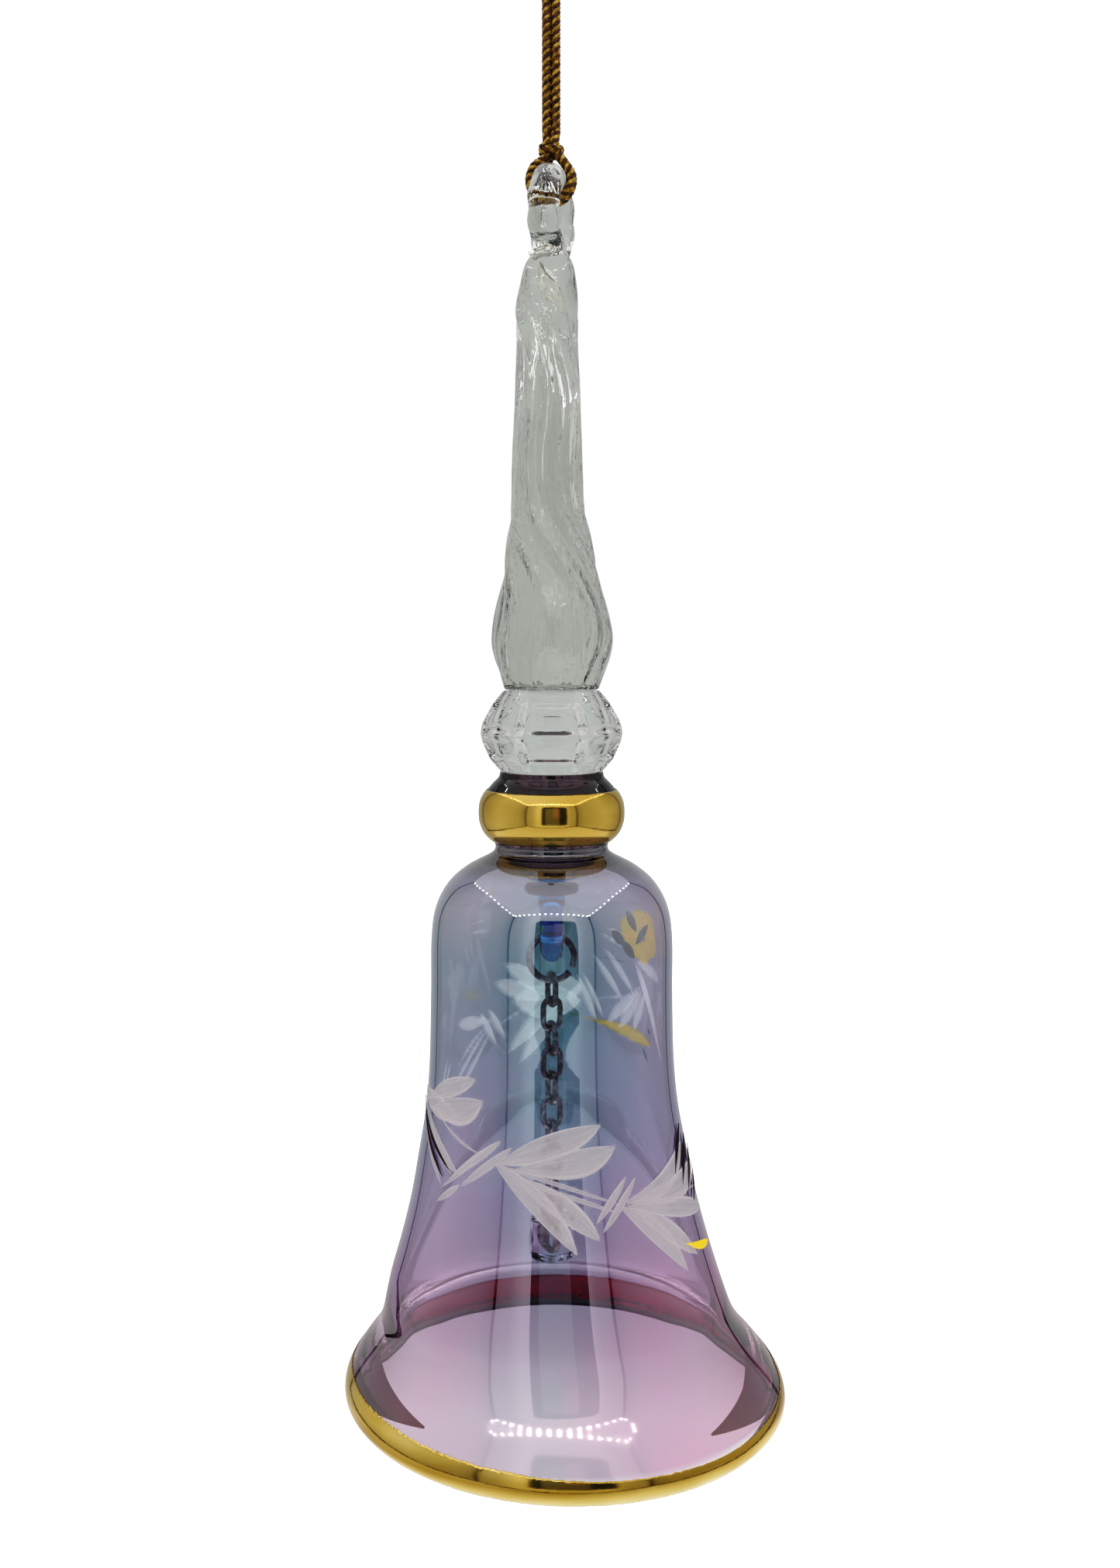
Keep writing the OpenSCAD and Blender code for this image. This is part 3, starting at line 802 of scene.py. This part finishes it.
def petal(base, tip, left, right, bend=0.0, widest=0.6, lift=0.0):
    """A petal on the bell as a thin closed solid, with (u, v) along and across it."""
    steps, across = 28, 9
    a, along, normal, per_degree = petal_axes(base, tip)
    t = np.linspace(0.0, 1.0, steps)
    shape = np.maximum(petal_width(t, widest), 0.05)
    s = np.linspace(-1, 1, across)
    width = np.where(s < 0, right, left)
    flat = (a + t[:, None, None] * along + (bend * np.sin(math.pi * t))[:, None, None] * normal
            + (shape[:, None] * s * width)[:, :, None] * normal)
    angle = flat[:, :, 0].ravel() / per_degree
    z = flat[:, :, 1].ravel()
    crown = np.tile(GAP + 0.02 + lift + 0.05 * np.sqrt(1 - s**2), steps)
    points = np.vstack([bell_surface(angle, z, crown), bell_surface(angle, z, GAP + lift)])
    n = steps * across
    faces = grid_faces(steps, across, closed_columns=False)
    faces += [tuple(n + i for i in f)[::-1] for f in faces]
    rim = (list(range(across)) + list(range(2 * across - 1, n, across))
           + list(range(n - 2, n - across - 1, -1)) + list(range(n - 2 * across, 0, -across)))
    faces += [(i, n + i, n + j, j) for i, j in zip(rim, rim[1:] + rim[:1])]
    uv = np.stack([np.repeat(t, across), np.tile((s + 1) / 2, steps)], axis=1)
    return points, faces, np.vstack([uv, uv])


def painted(name, look, petals, first_lift=0.0):
    """One piece of many petals, each a hair above the one before it."""
    skins = [petal(*values, lift=first_lift + 0.004 * i) for i, values in enumerate(petals)]
    points, faces = joined(*[skin[:2] for skin in skins])
    piece = new_object(name, points, faces, np.vstack([skin[2] for skin in skins]))
    return finish_piece(piece, look, "bell")


def streaks(tree):
    """Fine streaks along a stroke, and its edges: two values from 0 to 1."""
    place = node(tree, "ShaderNodeUVMap", uv_map="stroke").outputs["UV"]
    split = node(tree, "ShaderNodeSeparateXYZ", {0: place})
    edge = ramp(tree, split.outputs["Y"], [(0.0, 1), (0.05, 1), (0.12, 0.45), (0.60, 0.30), (0.90, 0.40),
                                           (0.97, 1)])
    return noise_at(tree, place, (1, 6, 1), 1.0, 3.0), edge


def frosting(name, white, see_through, painted_glow=None):
    """Glass ground matt: it scatters light from both sides and hides a little of what is behind. Its last
    value, when given, is painted light: an even glow that stands in for light shining through.
    """
    m, tree, shader = material(name, Roughness=0.5)
    streak, edge = streaks(tree)
    brushed = mixed(tree, 0.5, edge, streak)
    colour = ramp(tree, brushed, [(0.25, tuple(0.84 * c for c in white)), (0.7, white)])
    tree.links.new(colour, shader.inputs["Base Color"])
    bump(tree, shader, streak, 0.03, 0.6)
    # painted light: the stroke glows evenly, standing in for light shining through it
    if painted_glow:
        shader.inputs["Emission Color"].default_value = (*painted_glow, 1)
        shader.inputs["Emission Strength"].default_value = 1.0
    through = node(tree, "ShaderNodeBsdfTranslucent", {"Color": colour})
    matt = blended(tree, 0.5, shader.outputs[0], through.outputs[0])
    opaque = ramp(tree, brushed, [(0.25, 1 - see_through), (0.65, 0.95)])
    show(tree, blended(tree, opaque, node(tree, "ShaderNodeBsdfTransparent").outputs[0], matt))
    return m


# the last values of the first three are painted glows, standing in for light shining through the cut glass
# and the yellow enamel
FROSTED = frosting("frosted_cut", (0.95, 0.90, 0.93), 0.72, (0.06, 0.06, 0.06))
# painted light: a whiter, more solid and strongly glowing copy of the frosted cut for the far leaves,
# standing in for the light behind them
FROSTED_PAINTED_BACKLIGHT = frosting("frosted_cut_painted_backlight", (1.0, 1.0, 1.0), 0.2, (0.50, 0.50, 0.46))
YELLOW_ENAMEL = frosting("yellow_enamel", (1.0, 0.86, 0.12), 0.0, (0.44, 0.34, 0.01))
BROWN_ENAMEL_AND_PAINTED_SHADE = frosting("brown_enamel_and_painted_shade", (0.05, 0.012, 0.012), 0.0)

painted("garland_front", FROSTED, front_leaves)
painted("garland_back", FROSTED_PAINTED_BACKLIGHT, back_leaves)
painted("garland_flower", YELLOW_ENAMEL, yellow_petals + yellow_bud, 0.08)
# these dark strokes are partly brown paint and partly painted shade at the fan and the spray
painted("garland_dark_strokes", BROWN_ENAMEL_AND_PAINTED_SHADE, dark_strokes, 0.11)
# the flower's brown strokes were put on first: they are seen through the glass, over the yellow
painted("flower_dark_strokes", BROWN_ENAMEL_AND_PAINTED_SHADE, flower_dark, 0.0)


# ---- knop

def clear_glass(name, dark, light, streak=0.0):
    m, tree, shader = clouded(name, [(0.3, dark), (0.7, light)], 0.15, 2.0, (1, 1, 0.3),
                              Roughness=0.008, **GLASS)
    if streak:
        bump(tree, shader, noise_value(tree, 0.9, 2.0, (1, 1, 0.09)), streak)
    return m


def bubble_skin():
    """The skin of a bubble inside the glass: it mirrors at its edges."""
    m, tree, shader = material("bubble_skin", Roughness=0.02, Base_Color=(0.97, 0.97, 0.93, 1), **GLASS)
    silver = node(tree, "ShaderNodeBsdfGlossy", {"Color": (1.0, 0.99, 0.92, 1), "Roughness": 0.15})
    share = ramp(tree, facing_away(tree), [(0.15, 0.15), (0.5, 0.95)])
    show(tree, blended(tree, share, shader.outputs[0], silver.outputs[0]))
    return m


CLEAR = clear_glass("clear_glass", (0.93, 0.95, 0.93), (0.98, 0.985, 0.97))
DRAWN = clear_glass("drawn_glass", (0.80, 0.82, 0.78), (0.90, 0.91, 0.88), 0.22)
BUBBLE = bubble_skin()

KNOP_FOOT = 76.3
KNOP_WAIST = 80.8
KNOP_HEAD = 85.85
KNOP_SEGMENTS = 192


def polygon_radius(a, r, sides, softness):
    """Radius of a rounded polygon with its corners at the sides of the axis. softness 0 is sharp."""
    sector = FULL_TURN / sides
    # a is measured from the front, so the corners on the X axis are at a quarter turn
    b = (a - FULL_TURN / 4 + sector / 2) % sector - sector / 2
    flat = math.cos(sector / 2) / np.cos(np.abs(b) - sector / 2)
    return r * (softness + (1 - softness) * flat)


def knop_radius(a, z):
    foot = np.interp(z, [KNOP_FOOT, KNOP_WAIST, KNOP_HEAD], [6.6, 9.1, 6.2])
    for ridge, size in ((KNOP_WAIST, 0.25), (84.6, 0.2), (77.6, 0.18)):
        foot = foot + size * np.exp(-((z - ridge) / 0.5)**2)
    faceted = polygon_radius(a, foot, 6, 0.0)
    outline = catmull([(6.1, KNOP_FOOT), (7.35, 77.7), (8.15, 79.3), (8.42, 80.9), (8.1, 82.5), (7.0, 84.3),
                       (5.6, KNOP_HEAD)], 6)
    rounded = np.interp(z, outline[:, 1], outline[:, 0])
    # soft minimum of the two, so that the arrises are rounded as if by the flame
    k = 0.2
    return -k * np.log(np.exp(-faceted / k) + np.exp(-rounded / k))


knop_a = np.arange(KNOP_SEGMENTS) * FULL_TURN / KNOP_SEGMENTS
rows = [around(knop_a, knop_radius(knop_a, z), z) for z in np.linspace(KNOP_FOOT, KNOP_HEAD, 72)]
bore = catmull([(4.2, KNOP_HEAD), (5.0, 84.2), (5.7, 82.4), (5.9, 81), (5.5, 79.2), (4.6, 77.4),
                (4.4, KNOP_FOOT)], 5)
rows += [around(knop_a, polygon_radius(knop_a, r, 6, 0.5), z) for r, z in bore]
knop = new_object("faceted_knop_clear", np.vstack(rows),
                  grid_faces(len(rows), KNOP_SEGMENTS, closed_rows=True))
finish_piece(knop, CLEAR, "bell", ["faceted_knop"])


# ---- handle and eye

handle_outline = [
    (5.55, 85.95), (6.2, 88), (6.9, 90.5), (7.0, 92.5), (6.55, 95.2), (5.75, 98.5), (4.95, 103), (4.2, 107.5),
    (4.0, 111), (3.9, 116), (3.8, 121), (3.45, 126), (3.6, 129), (3.25, 132.5), (2.75, 135), (1.6, 136.4)]
handle_curve = catmull(handle_outline, 12)
RIBS = 8
RIB_TWIST = math.radians(2.6)  # for each millimetre of height
HANDLE_SEGMENTS = 144


def handle_radius(a, z, r, depth):
    """The twisted ribs and slow lumps of the handle."""
    fade = smoothstep(86.2, 89.5, z) * smoothstep(135.5, 128, z)
    twist = a + RIB_TWIST * (z - 86) + 0.35 * np.sin(z / 4.1)
    rib = np.cos(RIBS * twist) + 0.35 * np.cos((2 * RIBS + 1) * twist + 1.0)
    lump = np.sin(2 * a + z / 3.7) + 0.7 * np.sin(3 * a - z / 2.9 + 1.0)
    return r + fade * (depth * rib + 0.05 * lump)


def leaning(skin):
    """Bends the points of a skin a little to the side, as the drawn handle is bent."""
    points, faces = skin
    points = points.copy()
    points[:, 0] += np.interp(points[:, 2], [86, 92.5, 101, 106.7, 118, 129.4, 135, 140],
                              [0, 0.15, -0.15, -0.42, -0.4, -0.5, -0.25, 0])
    return points, faces


def handle_rows(curve, depth):
    a = np.arange(HANDLE_SEGMENTS) * FULL_TURN / HANDLE_SEGMENTS
    return [around(a, handle_radius(a, z, r, depth), z) for r, z in curve]


def eye_path():
    """The rod of the eye: up the back, over, and down the front on to the handle's tip."""
    turn = np.radians(np.linspace(0, 180, 37))
    y, z = EYE_BEND_R * np.cos(turn), EYE_BEND_R * np.sin(turn)
    over = np.stack([0 * y, y, EYE_Z + z], axis=1)
    under = np.stack([0 * y, -y, EYE_Z - 1.4 - z], axis=1)
    ring = turned_about_z(np.vstack([over, under]), EYE_TURN)
    return resampled(np.vstack([ring, ring[:1]]), 0.4)[:-1]


eye_line = eye_path()
swell = EYE_ROD_R * (1 + 0.05 * np.sin(0.9 * np.arange(len(eye_line))))
outer = leaning(capped(handle_rows(handle_curve, 0.15)))
eye = loop_tube(eye_line, swell, 32, (math.cos(EYE_TURN), math.sin(EYE_TURN), 0.0))
handle = new_object("handle_and_eye", *joined(outer, eye))
fused(handle, 0.16, 8)

# the hollow of the handle, and the leaf-shaped bubble where it was drawn to a point
hollow_curve = np.array([p for p in beside(handle_curve, -0.95) if 86.6 < p[1] < 130])
hollow_curve[:, 0] *= 0.15 + 0.85 * smoothstep(131, 116, hollow_curve[:, 1])
hollow_curve = np.vstack([(hollow_curve[0][0] * 0.85, 86.45), hollow_curve])
hollow = leaning(capped(handle_rows(hollow_curve, 0.20)))


def bubble(centre, size, sides, turn, wrinkle, slant):
    """A pointed, flattened bubble with a fold."""
    rows = []
    for t in np.linspace(0.02, 0.98, 36):
        w = math.sin(math.pi * t) ** 1.15
        a = np.arange(sides) * FULL_TURN / sides
        r = 1 + wrinkle * np.sin(3 * a + 9 * t) + 0.6 * wrinkle * np.sin(5 * a - 14 * t)
        x = size[0] * w * np.cos(a) * r - slant * size[0] * (t - 0.5) * 2
        y = size[1] * w * np.sin(a) * r
        z = np.full(sides, size[2] * (t - 0.5) * 2)
        rows.append(turned_about_z(np.stack([x, y, z], axis=1), turn) + centre)
    return capped(rows)


leaf_bubble = leaning(bubble(np.array([0.2, -1.5, 131.9]), (1.0, 0.8, 3.0), 48, 0.1, 0.14, 1.2))
root_bubble = leaning(bubble(np.array([-0.9, -1.6, 136.0]), (1.3, 0.5, 1.2), 32, -0.1, 0.15, -0.5))


def add_hollows(piece, hollows, look_index):
    """Adds closed hollows to a solid piece: their faces look inwards."""
    inner = new_object("hollows", *joined(*hollows))
    two_looks(inner, DRAWN, BUBBLE, [look_index] * len(inner.data.polygons))
    inner.data.flip_normals()
    bm = bmesh.new()
    bm.from_mesh(piece.data)
    bm.from_mesh(inner.data)
    bm.to_mesh(piece.data)
    bm.free()
    bpy.data.objects.remove(inner)
    smooth(piece.data)


two_looks(handle, DRAWN, BUBBLE, [0] * len(handle.data.polygons))
add_hollows(handle, [hollow], 0)
add_hollows(handle, [leaf_bubble, root_bubble], 1)
finish_piece(handle, None, "bell", ["handle_stem", "hanging_eye"])


# ---- hook inside the bell

HOOK_R = 1.4
HOOK_BEND = 2.5
HOOK_Z = 57.2
HOOK_SIDES = 28

BLUE = clouded("blue_glass", [(0.35, (0.03, 0.30, 0.80)), (0.65, (0.14, 0.50, 0.95))], 0.6, 3.0,
               Roughness=0.02, **GLASS)[0]
turn = np.linspace(0, FULL_TURN, 73)[:-1]
hook_line = np.stack([0 * turn, HOOK_BEND * np.cos(turn),
                      HOOK_Z + 0.1 + HOOK_BEND * np.sin(turn) + 0.1 * np.sign(np.sin(turn))], axis=1)
hook_loop = loop_tube(hook_line, HOOK_R, HOOK_SIDES, (1.0, 0.0, 0.0))
shank_z = np.linspace(59.6, DOME_Z - 0.06, 24)
shank_r = np.interp(shank_z, [59.6, 60.6, 62.2, 63.8, 64.6, 65.04], [1.5, 1.6, 1.55, 1.6, 2.0, 2.5])
a = np.arange(HOOK_SIDES) * FULL_TURN / HOOK_SIDES
shank = capped([np.stack([r * np.cos(a), r * np.sin(a), z + 0 * a], axis=1)
                for r, z in zip(shank_r, shank_z)])
hook = new_object("clapper_hook_blue", *joined(hook_loop, shank))
fused(hook, 0.14, 6)
finish_piece(hook, BLUE, "bell", ["clapper_hook"])

BEAD_SEGMENTS = 96
BEAD_BORE = 1.68
bead_a = np.arange(BEAD_SEGMENTS) * FULL_TURN / BEAD_SEGMENTS
bead_rows = []
for t in np.linspace(0, FULL_TURN, 33)[:-1]:
    r = np.maximum(2.6 + 0.62 * np.cos(t) + 0.12 * np.sin(3 * bead_a), BEAD_BORE)
    if np.cos(t) < -0.35:
        r = np.full(BEAD_SEGMENTS, BEAD_BORE)
    z = 62.4 + 0.52 * np.sin(t) + 0 * r
    bead_rows.append(np.stack([r * np.cos(bead_a), r * np.sin(bead_a), z], axis=1))
bead = new_object("hook_bead_glass", np.vstack(bead_rows), grid_faces(32, BEAD_SEGMENTS, closed_rows=True))
finish_piece(bead, VIOLET, "bell", ["hook_bead"])


# ---- jump ring and chain

def dark_wire():
    m, tree, shader = clouded("dark_wire", [(0.3, (0.22, 0.14, 0.13)), (0.5, (0.44, 0.32, 0.29)),
                                            (0.75, (0.90, 0.80, 0.74))],
                              1.4, 3.0, Metallic=1.0, Roughness=0.3)
    rough = node(tree, "ShaderNodeMapRange", {"Value": noise_value(tree, 3.0), "To Min": 0.12,
                                              "To Max": 0.32})
    tree.links.new(rough.outputs["Result"], shader.inputs["Roughness"])
    return m


WIRE = dark_wire()
RING_Z = 53.85
RING_R = 2.7
RING_WIRE_R = 0.4
ring_a = np.radians(np.linspace(129, 473, 130))
spread = np.linspace(-1, 1, 130)
# the ring's two ends pass each other at the lower right
ring_line = np.stack([RING_R * np.sin(ring_a), 0.10 * np.sign(spread) * np.abs(spread) ** 6,
                      RING_Z + RING_R * np.cos(ring_a)], axis=1)
ring_piece = new_object("split_ring", *tube(ring_line, RING_WIRE_R, 20))
finish_piece(ring_piece, WIRE, "jump_ring", ["jump_ring"])

LINK_WIRE_R = 0.35
LINK_R = 1.1
LINK_LEG = 1.55
LINK_PITCH = 3.01
FIRST_LINK_Z = 50.065
LINK_TURN = (115, 25)
FREE_LINKS = 9


def chain_link(number):
    """A link: two bends and two legs, its wire ends meeting with a small burr half way up one leg."""
    bend = np.linspace(0, math.pi, 15)
    leg = np.linspace(LINK_LEG / 2, -LINK_LEG / 2, 7)[1:-1]
    x, z = LINK_R * np.cos(bend), LINK_LEG / 2 + LINK_R * np.sin(bend)
    outline = [(x, z), (0 * leg - LINK_R, leg), (-x, -z), (0 * leg + LINK_R, leg[::-1])]
    line = np.vstack([np.stack([part_x, 0 * part_x, part_z], axis=1) for part_x, part_z in outline])
    radius = np.full(len(line), LINK_WIRE_R)
    radius[-3] *= 0.86
    points, faces = loop_tube(line, radius, 16, (0.0, 1.0, 0.0))
    points = turned_about_z(points, math.radians(LINK_TURN[(number + 1) % 2]))
    points[:, 2] += FIRST_LINK_Z - (number - 1) * LINK_PITCH
    return points, faces


for number in range(1, FREE_LINKS + 1):
    link = new_object(f"wire_link_{number}", *chain_link(number))
    finish_piece(link, WIRE, f"chain_link_{number}", [f"chain_link_{number}"])
anchor = new_object("wire_anchor_links", *joined(chain_link(FREE_LINKS + 1), chain_link(FREE_LINKS + 2)))
finish_piece(anchor, WIRE, "clapper", ["anchor_link", "inner_anchor_link"])


# ---- clapper

CLAPPER_R = 2.7
low, high = 16.7, 22.6
clapper_curve = catmull([(0, low + 0.1), (1.4, low), (2.3, low + 0.15), (2.66, low + 0.8),
                         (CLAPPER_R, low + 2), (CLAPPER_R - 0.04, high - 2), (2.62, high - 0.9),
                         (2.2, high - 0.25), (1.3, high - 0.05), (0, high)], 6)
points, faces = turned(clapper_curve, 96, lambda a, r, z: r + 0.05 * np.sin(3 * a + z) * np.minimum(1, r / 2))
clapper = new_object("clapper_bead", points, faces)
finish_piece(clapper, CLEAR, "clapper", ["clapper"])


# ---- studio: a floor and a light tent

def emission(name, colour, strength):
    m = bpy.data.materials.new(name)
    m.use_nodes = True
    tree = m.node_tree
    tree.nodes.clear()
    light = node(tree, "ShaderNodeEmission", {"Color": (*colour, 1), "Strength": strength})
    node(tree, "ShaderNodeOutputMaterial", {"Surface": light.outputs[0]})
    return m


def shaded_emission(name, colour, axis, stops):
    """An emission whose strength changes along one axis. stops are (place in millimetres, strength)."""
    m = emission(name, colour, 1.0)
    first, last = stops[0][0], stops[-1][0]
    place = height(m.node_tree, first, last, axis)
    strength = ramp(m.node_tree, place, [((p - first) / (last - first), v) for p, v in stops])
    light = next(n for n in m.node_tree.nodes if n.type == "EMISSION")
    m.node_tree.links.new(strength, light.inputs["Strength"])
    return m


def panel(name, corners, look):
    """A flat panel of the light tent, which the camera doesn't see."""
    mesh = bpy.data.meshes.new(name)
    mesh.from_pydata(to_frame(corners).tolist(), [], [tuple(range(len(corners)))])
    mesh.materials.append(look)
    obj = bpy.data.objects.new(name, mesh)
    bpy.context.scene.collection.objects.link(obj)
    obj.visible_camera = False
    return obj


def rectangle(name, a, b, look):
    """A panel between two opposite corners, which share one of their coordinates."""
    second, fourth = (b[0], a[1], a[2]), (a[0], b[1], b[2])
    if a[0] == b[0]:
        second, fourth = (a[0], b[1], a[2]), (a[0], a[1], b[2])
    return panel(name, [a, second, b, fourth], look)


def upright(name, x0, x1, z0, z1, y, look, cut=False):
    """An upright panel facing the bell; with cut, only the corner of it outside a quarter circle."""
    x0, x1 = x0 + OPEN_SHIFT, x1 + OPEN_SHIFT
    corners = [(x0, y, z0), (x1, y, z0), (x1, y, z1), (x0, y, z1)]
    if cut:
        corners = [(x0, y, z0)] + [(x1 + (x0 - x1) * math.sin(t), y, z1 + (z0 - z1) * math.cos(t))
                                   for t in np.linspace(0, math.pi / 2, 9)]
    return panel(name, corners, look)


SIDE = 200.0
FRONT = -240.0
BACK = 195.0
FLOOR = -45.0
TOP = 262.0

rectangle("tent_back", (-SIDE, BACK, FLOOR), (SIDE, BACK, TOP), shaded_emission(
    "tent_back", (0.97, 1.0, 0.98), "X", [(-SIDE, 0.42), (-60, 0.50), (60, 0.50), (SIDE, 0.42)]))
tent_side = shaded_emission("tent_side", (1.0, 1.0, 0.98), "Y",
                            [(FRONT, 0.36), (FRONT + 70, 0.55), (0, 0.72), (BACK, 0.42)])
for side, name in ((-1, "left"), (1, "right")):
    rectangle("tent_" + name, (side * SIDE, FRONT, FLOOR), (side * SIDE, BACK, TOP), tent_side)
rectangle("tent_top", (-SIDE, FRONT, TOP), (SIDE, BACK, TOP), emission("tent_top", (1.0, 0.98, 1.0), 1.0))
rectangle("tent_floor", (-SIDE, FRONT, FLOOR), (SIDE, BACK, FLOOR), shaded_emission(
    "tent_floor", (1.0, 0.99, 0.98), "Y", [(FRONT, 0.8), (74, 0.92), (104, 0.62), (130, 0.5), (BACK, 0.46)]))

# front wall with its opening
OPEN_X = 88.0
OPEN_SHIFT = 22.0
OPEN_LOW = -5.0
OPEN_HIGH = 204.0
front_look = shaded_emission("tent_front", (1.0, 1.0, 0.99), "X",
                             [(-SIDE, 0.50), (-OPEN_X - 45, 0.62), (-OPEN_X, 0.98),
                              (OPEN_X, 0.98), (OPEN_X + 45, 0.62), (SIDE, 0.50)])
for name, x0, x1, z0, z1 in (("left", -SIDE - OPEN_SHIFT, -OPEN_X, FLOOR, TOP),
                             ("right", OPEN_X, SIDE - OPEN_SHIFT, FLOOR, TOP),
                             ("low", -OPEN_X, OPEN_X, FLOOR, OPEN_LOW),
                             ("high", -OPEN_X, OPEN_X, OPEN_HIGH, TOP)):
    upright("tent_front_" + name, x0, x1, z0, z1, FRONT, front_look)
upright("tent_opening", -OPEN_X, OPEN_X, OPEN_LOW, OPEN_HIGH, FRONT - 4,
        emission("dark_room", (0.8, 0.9, 1.0), 0.08))
upright("room_wall", -62, 30, 0, 168, FRONT - 3, emission("room_wall", (0.85, 0.95, 1.0), 0.28))
upright("room_figure", -10, 30, 60, 178, FRONT - 2, emission("room_figure", (1.0, 0.75, 0.8), 0.40))
# rounded upper corners of the opening
CORNER = 26.0
for side in (-1, 1):
    upright("opening_corner_" + str(side), side * OPEN_X, side * (OPEN_X - CORNER), OPEN_HIGH,
            OPEN_HIGH - CORNER, FRONT - 1, front_look, cut=True)

# dark seams at the tent's upright corners
SEAM = 7.0
seam_look = emission("tent_seam", (1.0, 0.9, 0.8), 0.03)
for side in (-1, 1):
    for y in (FRONT + 3, BACK - 3):
        x = side * (SIDE - 3)
        x_in, y_in = x - side * SEAM, y - math.copysign(SEAM, y)
        panel(f"tent_seam_{side}_{int(y)}",
              [(x_in, y, FLOOR), (x, y_in, FLOOR), (x, y_in, TOP), (x_in, y, TOP)], seam_look)

# a dark gap where the walls stand on the floor
GAP_TOP = FLOOR + 9
rectangle("gap_front", (-SIDE, FRONT + 2, FLOOR), (SIDE, FRONT + 2, GAP_TOP), seam_look)
for side, name in ((-1, "left"), (1, "right")):
    x = side * (SIDE - 2)
    rectangle("gap_" + name, (x, FRONT, FLOOR), (x, BACK, GAP_TOP), seam_look)

# lamps along the front and the sides of the tent's top
lamp_look = emission("lamp", (1.0, 0.98, 0.95), 30.0)
side_lamp_look = emission("side_lamp", (1.0, 0.98, 0.95), 18.0)
LAMP = 3.6
LAMP_Z = TOP - 6
for i, x in enumerate(np.linspace(20 - SIDE, SIDE - 20, 15)):
    rectangle(f"lamp_front_{i}", (x - LAMP, FRONT + 12, LAMP_Z), (x + LAMP, FRONT + 20, LAMP_Z), lamp_look)
for side in (-1, 1):
    x = side * (SIDE - 12)
    for i, y in enumerate(np.linspace(FRONT + 30, BACK - 30, 12)):
        rectangle(f"lamp_side_{side}_{i}", (x - LAMP, y - LAMP, LAMP_Z), (x + LAMP, y + LAMP, LAMP_Z),
                  side_lamp_look)

# the pale floor that the camera sees
FLOOR_HALF = 4000.0
floor_corners = [(x * FLOOR_HALF, y * FLOOR_HALF, FLOOR - 1) for x, y in ((-1, -1), (1, -1), (1, 1), (-1, 1))]
floor_mesh = bpy.data.meshes.new("floor")
floor_mesh.from_pydata(to_frame(floor_corners).tolist(), [], [(0, 1, 2, 3)])
floor_mesh.materials.append(material(
    "pale_floor", Base_Color=(0.85, 0.85, 0.85, 1), Roughness=0.9, Emission_Color=(1, 1, 1, 1),
    Emission_Strength=0.96)[0])
floor = bpy.data.objects.new("floor", floor_mesh)
bpy.context.scene.collection.objects.link(floor)
for flag in ("visible_diffuse", "visible_glossy", "visible_transmission", "visible_shadow"):
    setattr(floor, flag, False)

scene = bpy.context.scene
scene.world = bpy.data.worlds.new("studio")
scene.world.use_nodes = True
background = scene.world.node_tree.nodes["Background"]
background.inputs["Color"].default_value = (1, 1, 1, 1)
background.inputs["Strength"].default_value = 1.0
scene.view_settings.view_transform = "Standard"
# the photograph's own contrast: its dark tones are pressed a little darker
scene.view_settings.use_curve_mapping = True
tone = scene.view_settings.curve_mapping
for dark_in, dark_out in ((0.06, 0.025), (0.15, 0.115), (0.28, 0.27), (0.60, 0.62)):
    tone.curves[3].points.new(dark_in, dark_out)
tone.update()
scene.cycles.max_bounces = 20
scene.cycles.transmission_bounces = 20
scene.cycles.glossy_bounces = 6
scene.cycles.transparent_max_bounces = 12
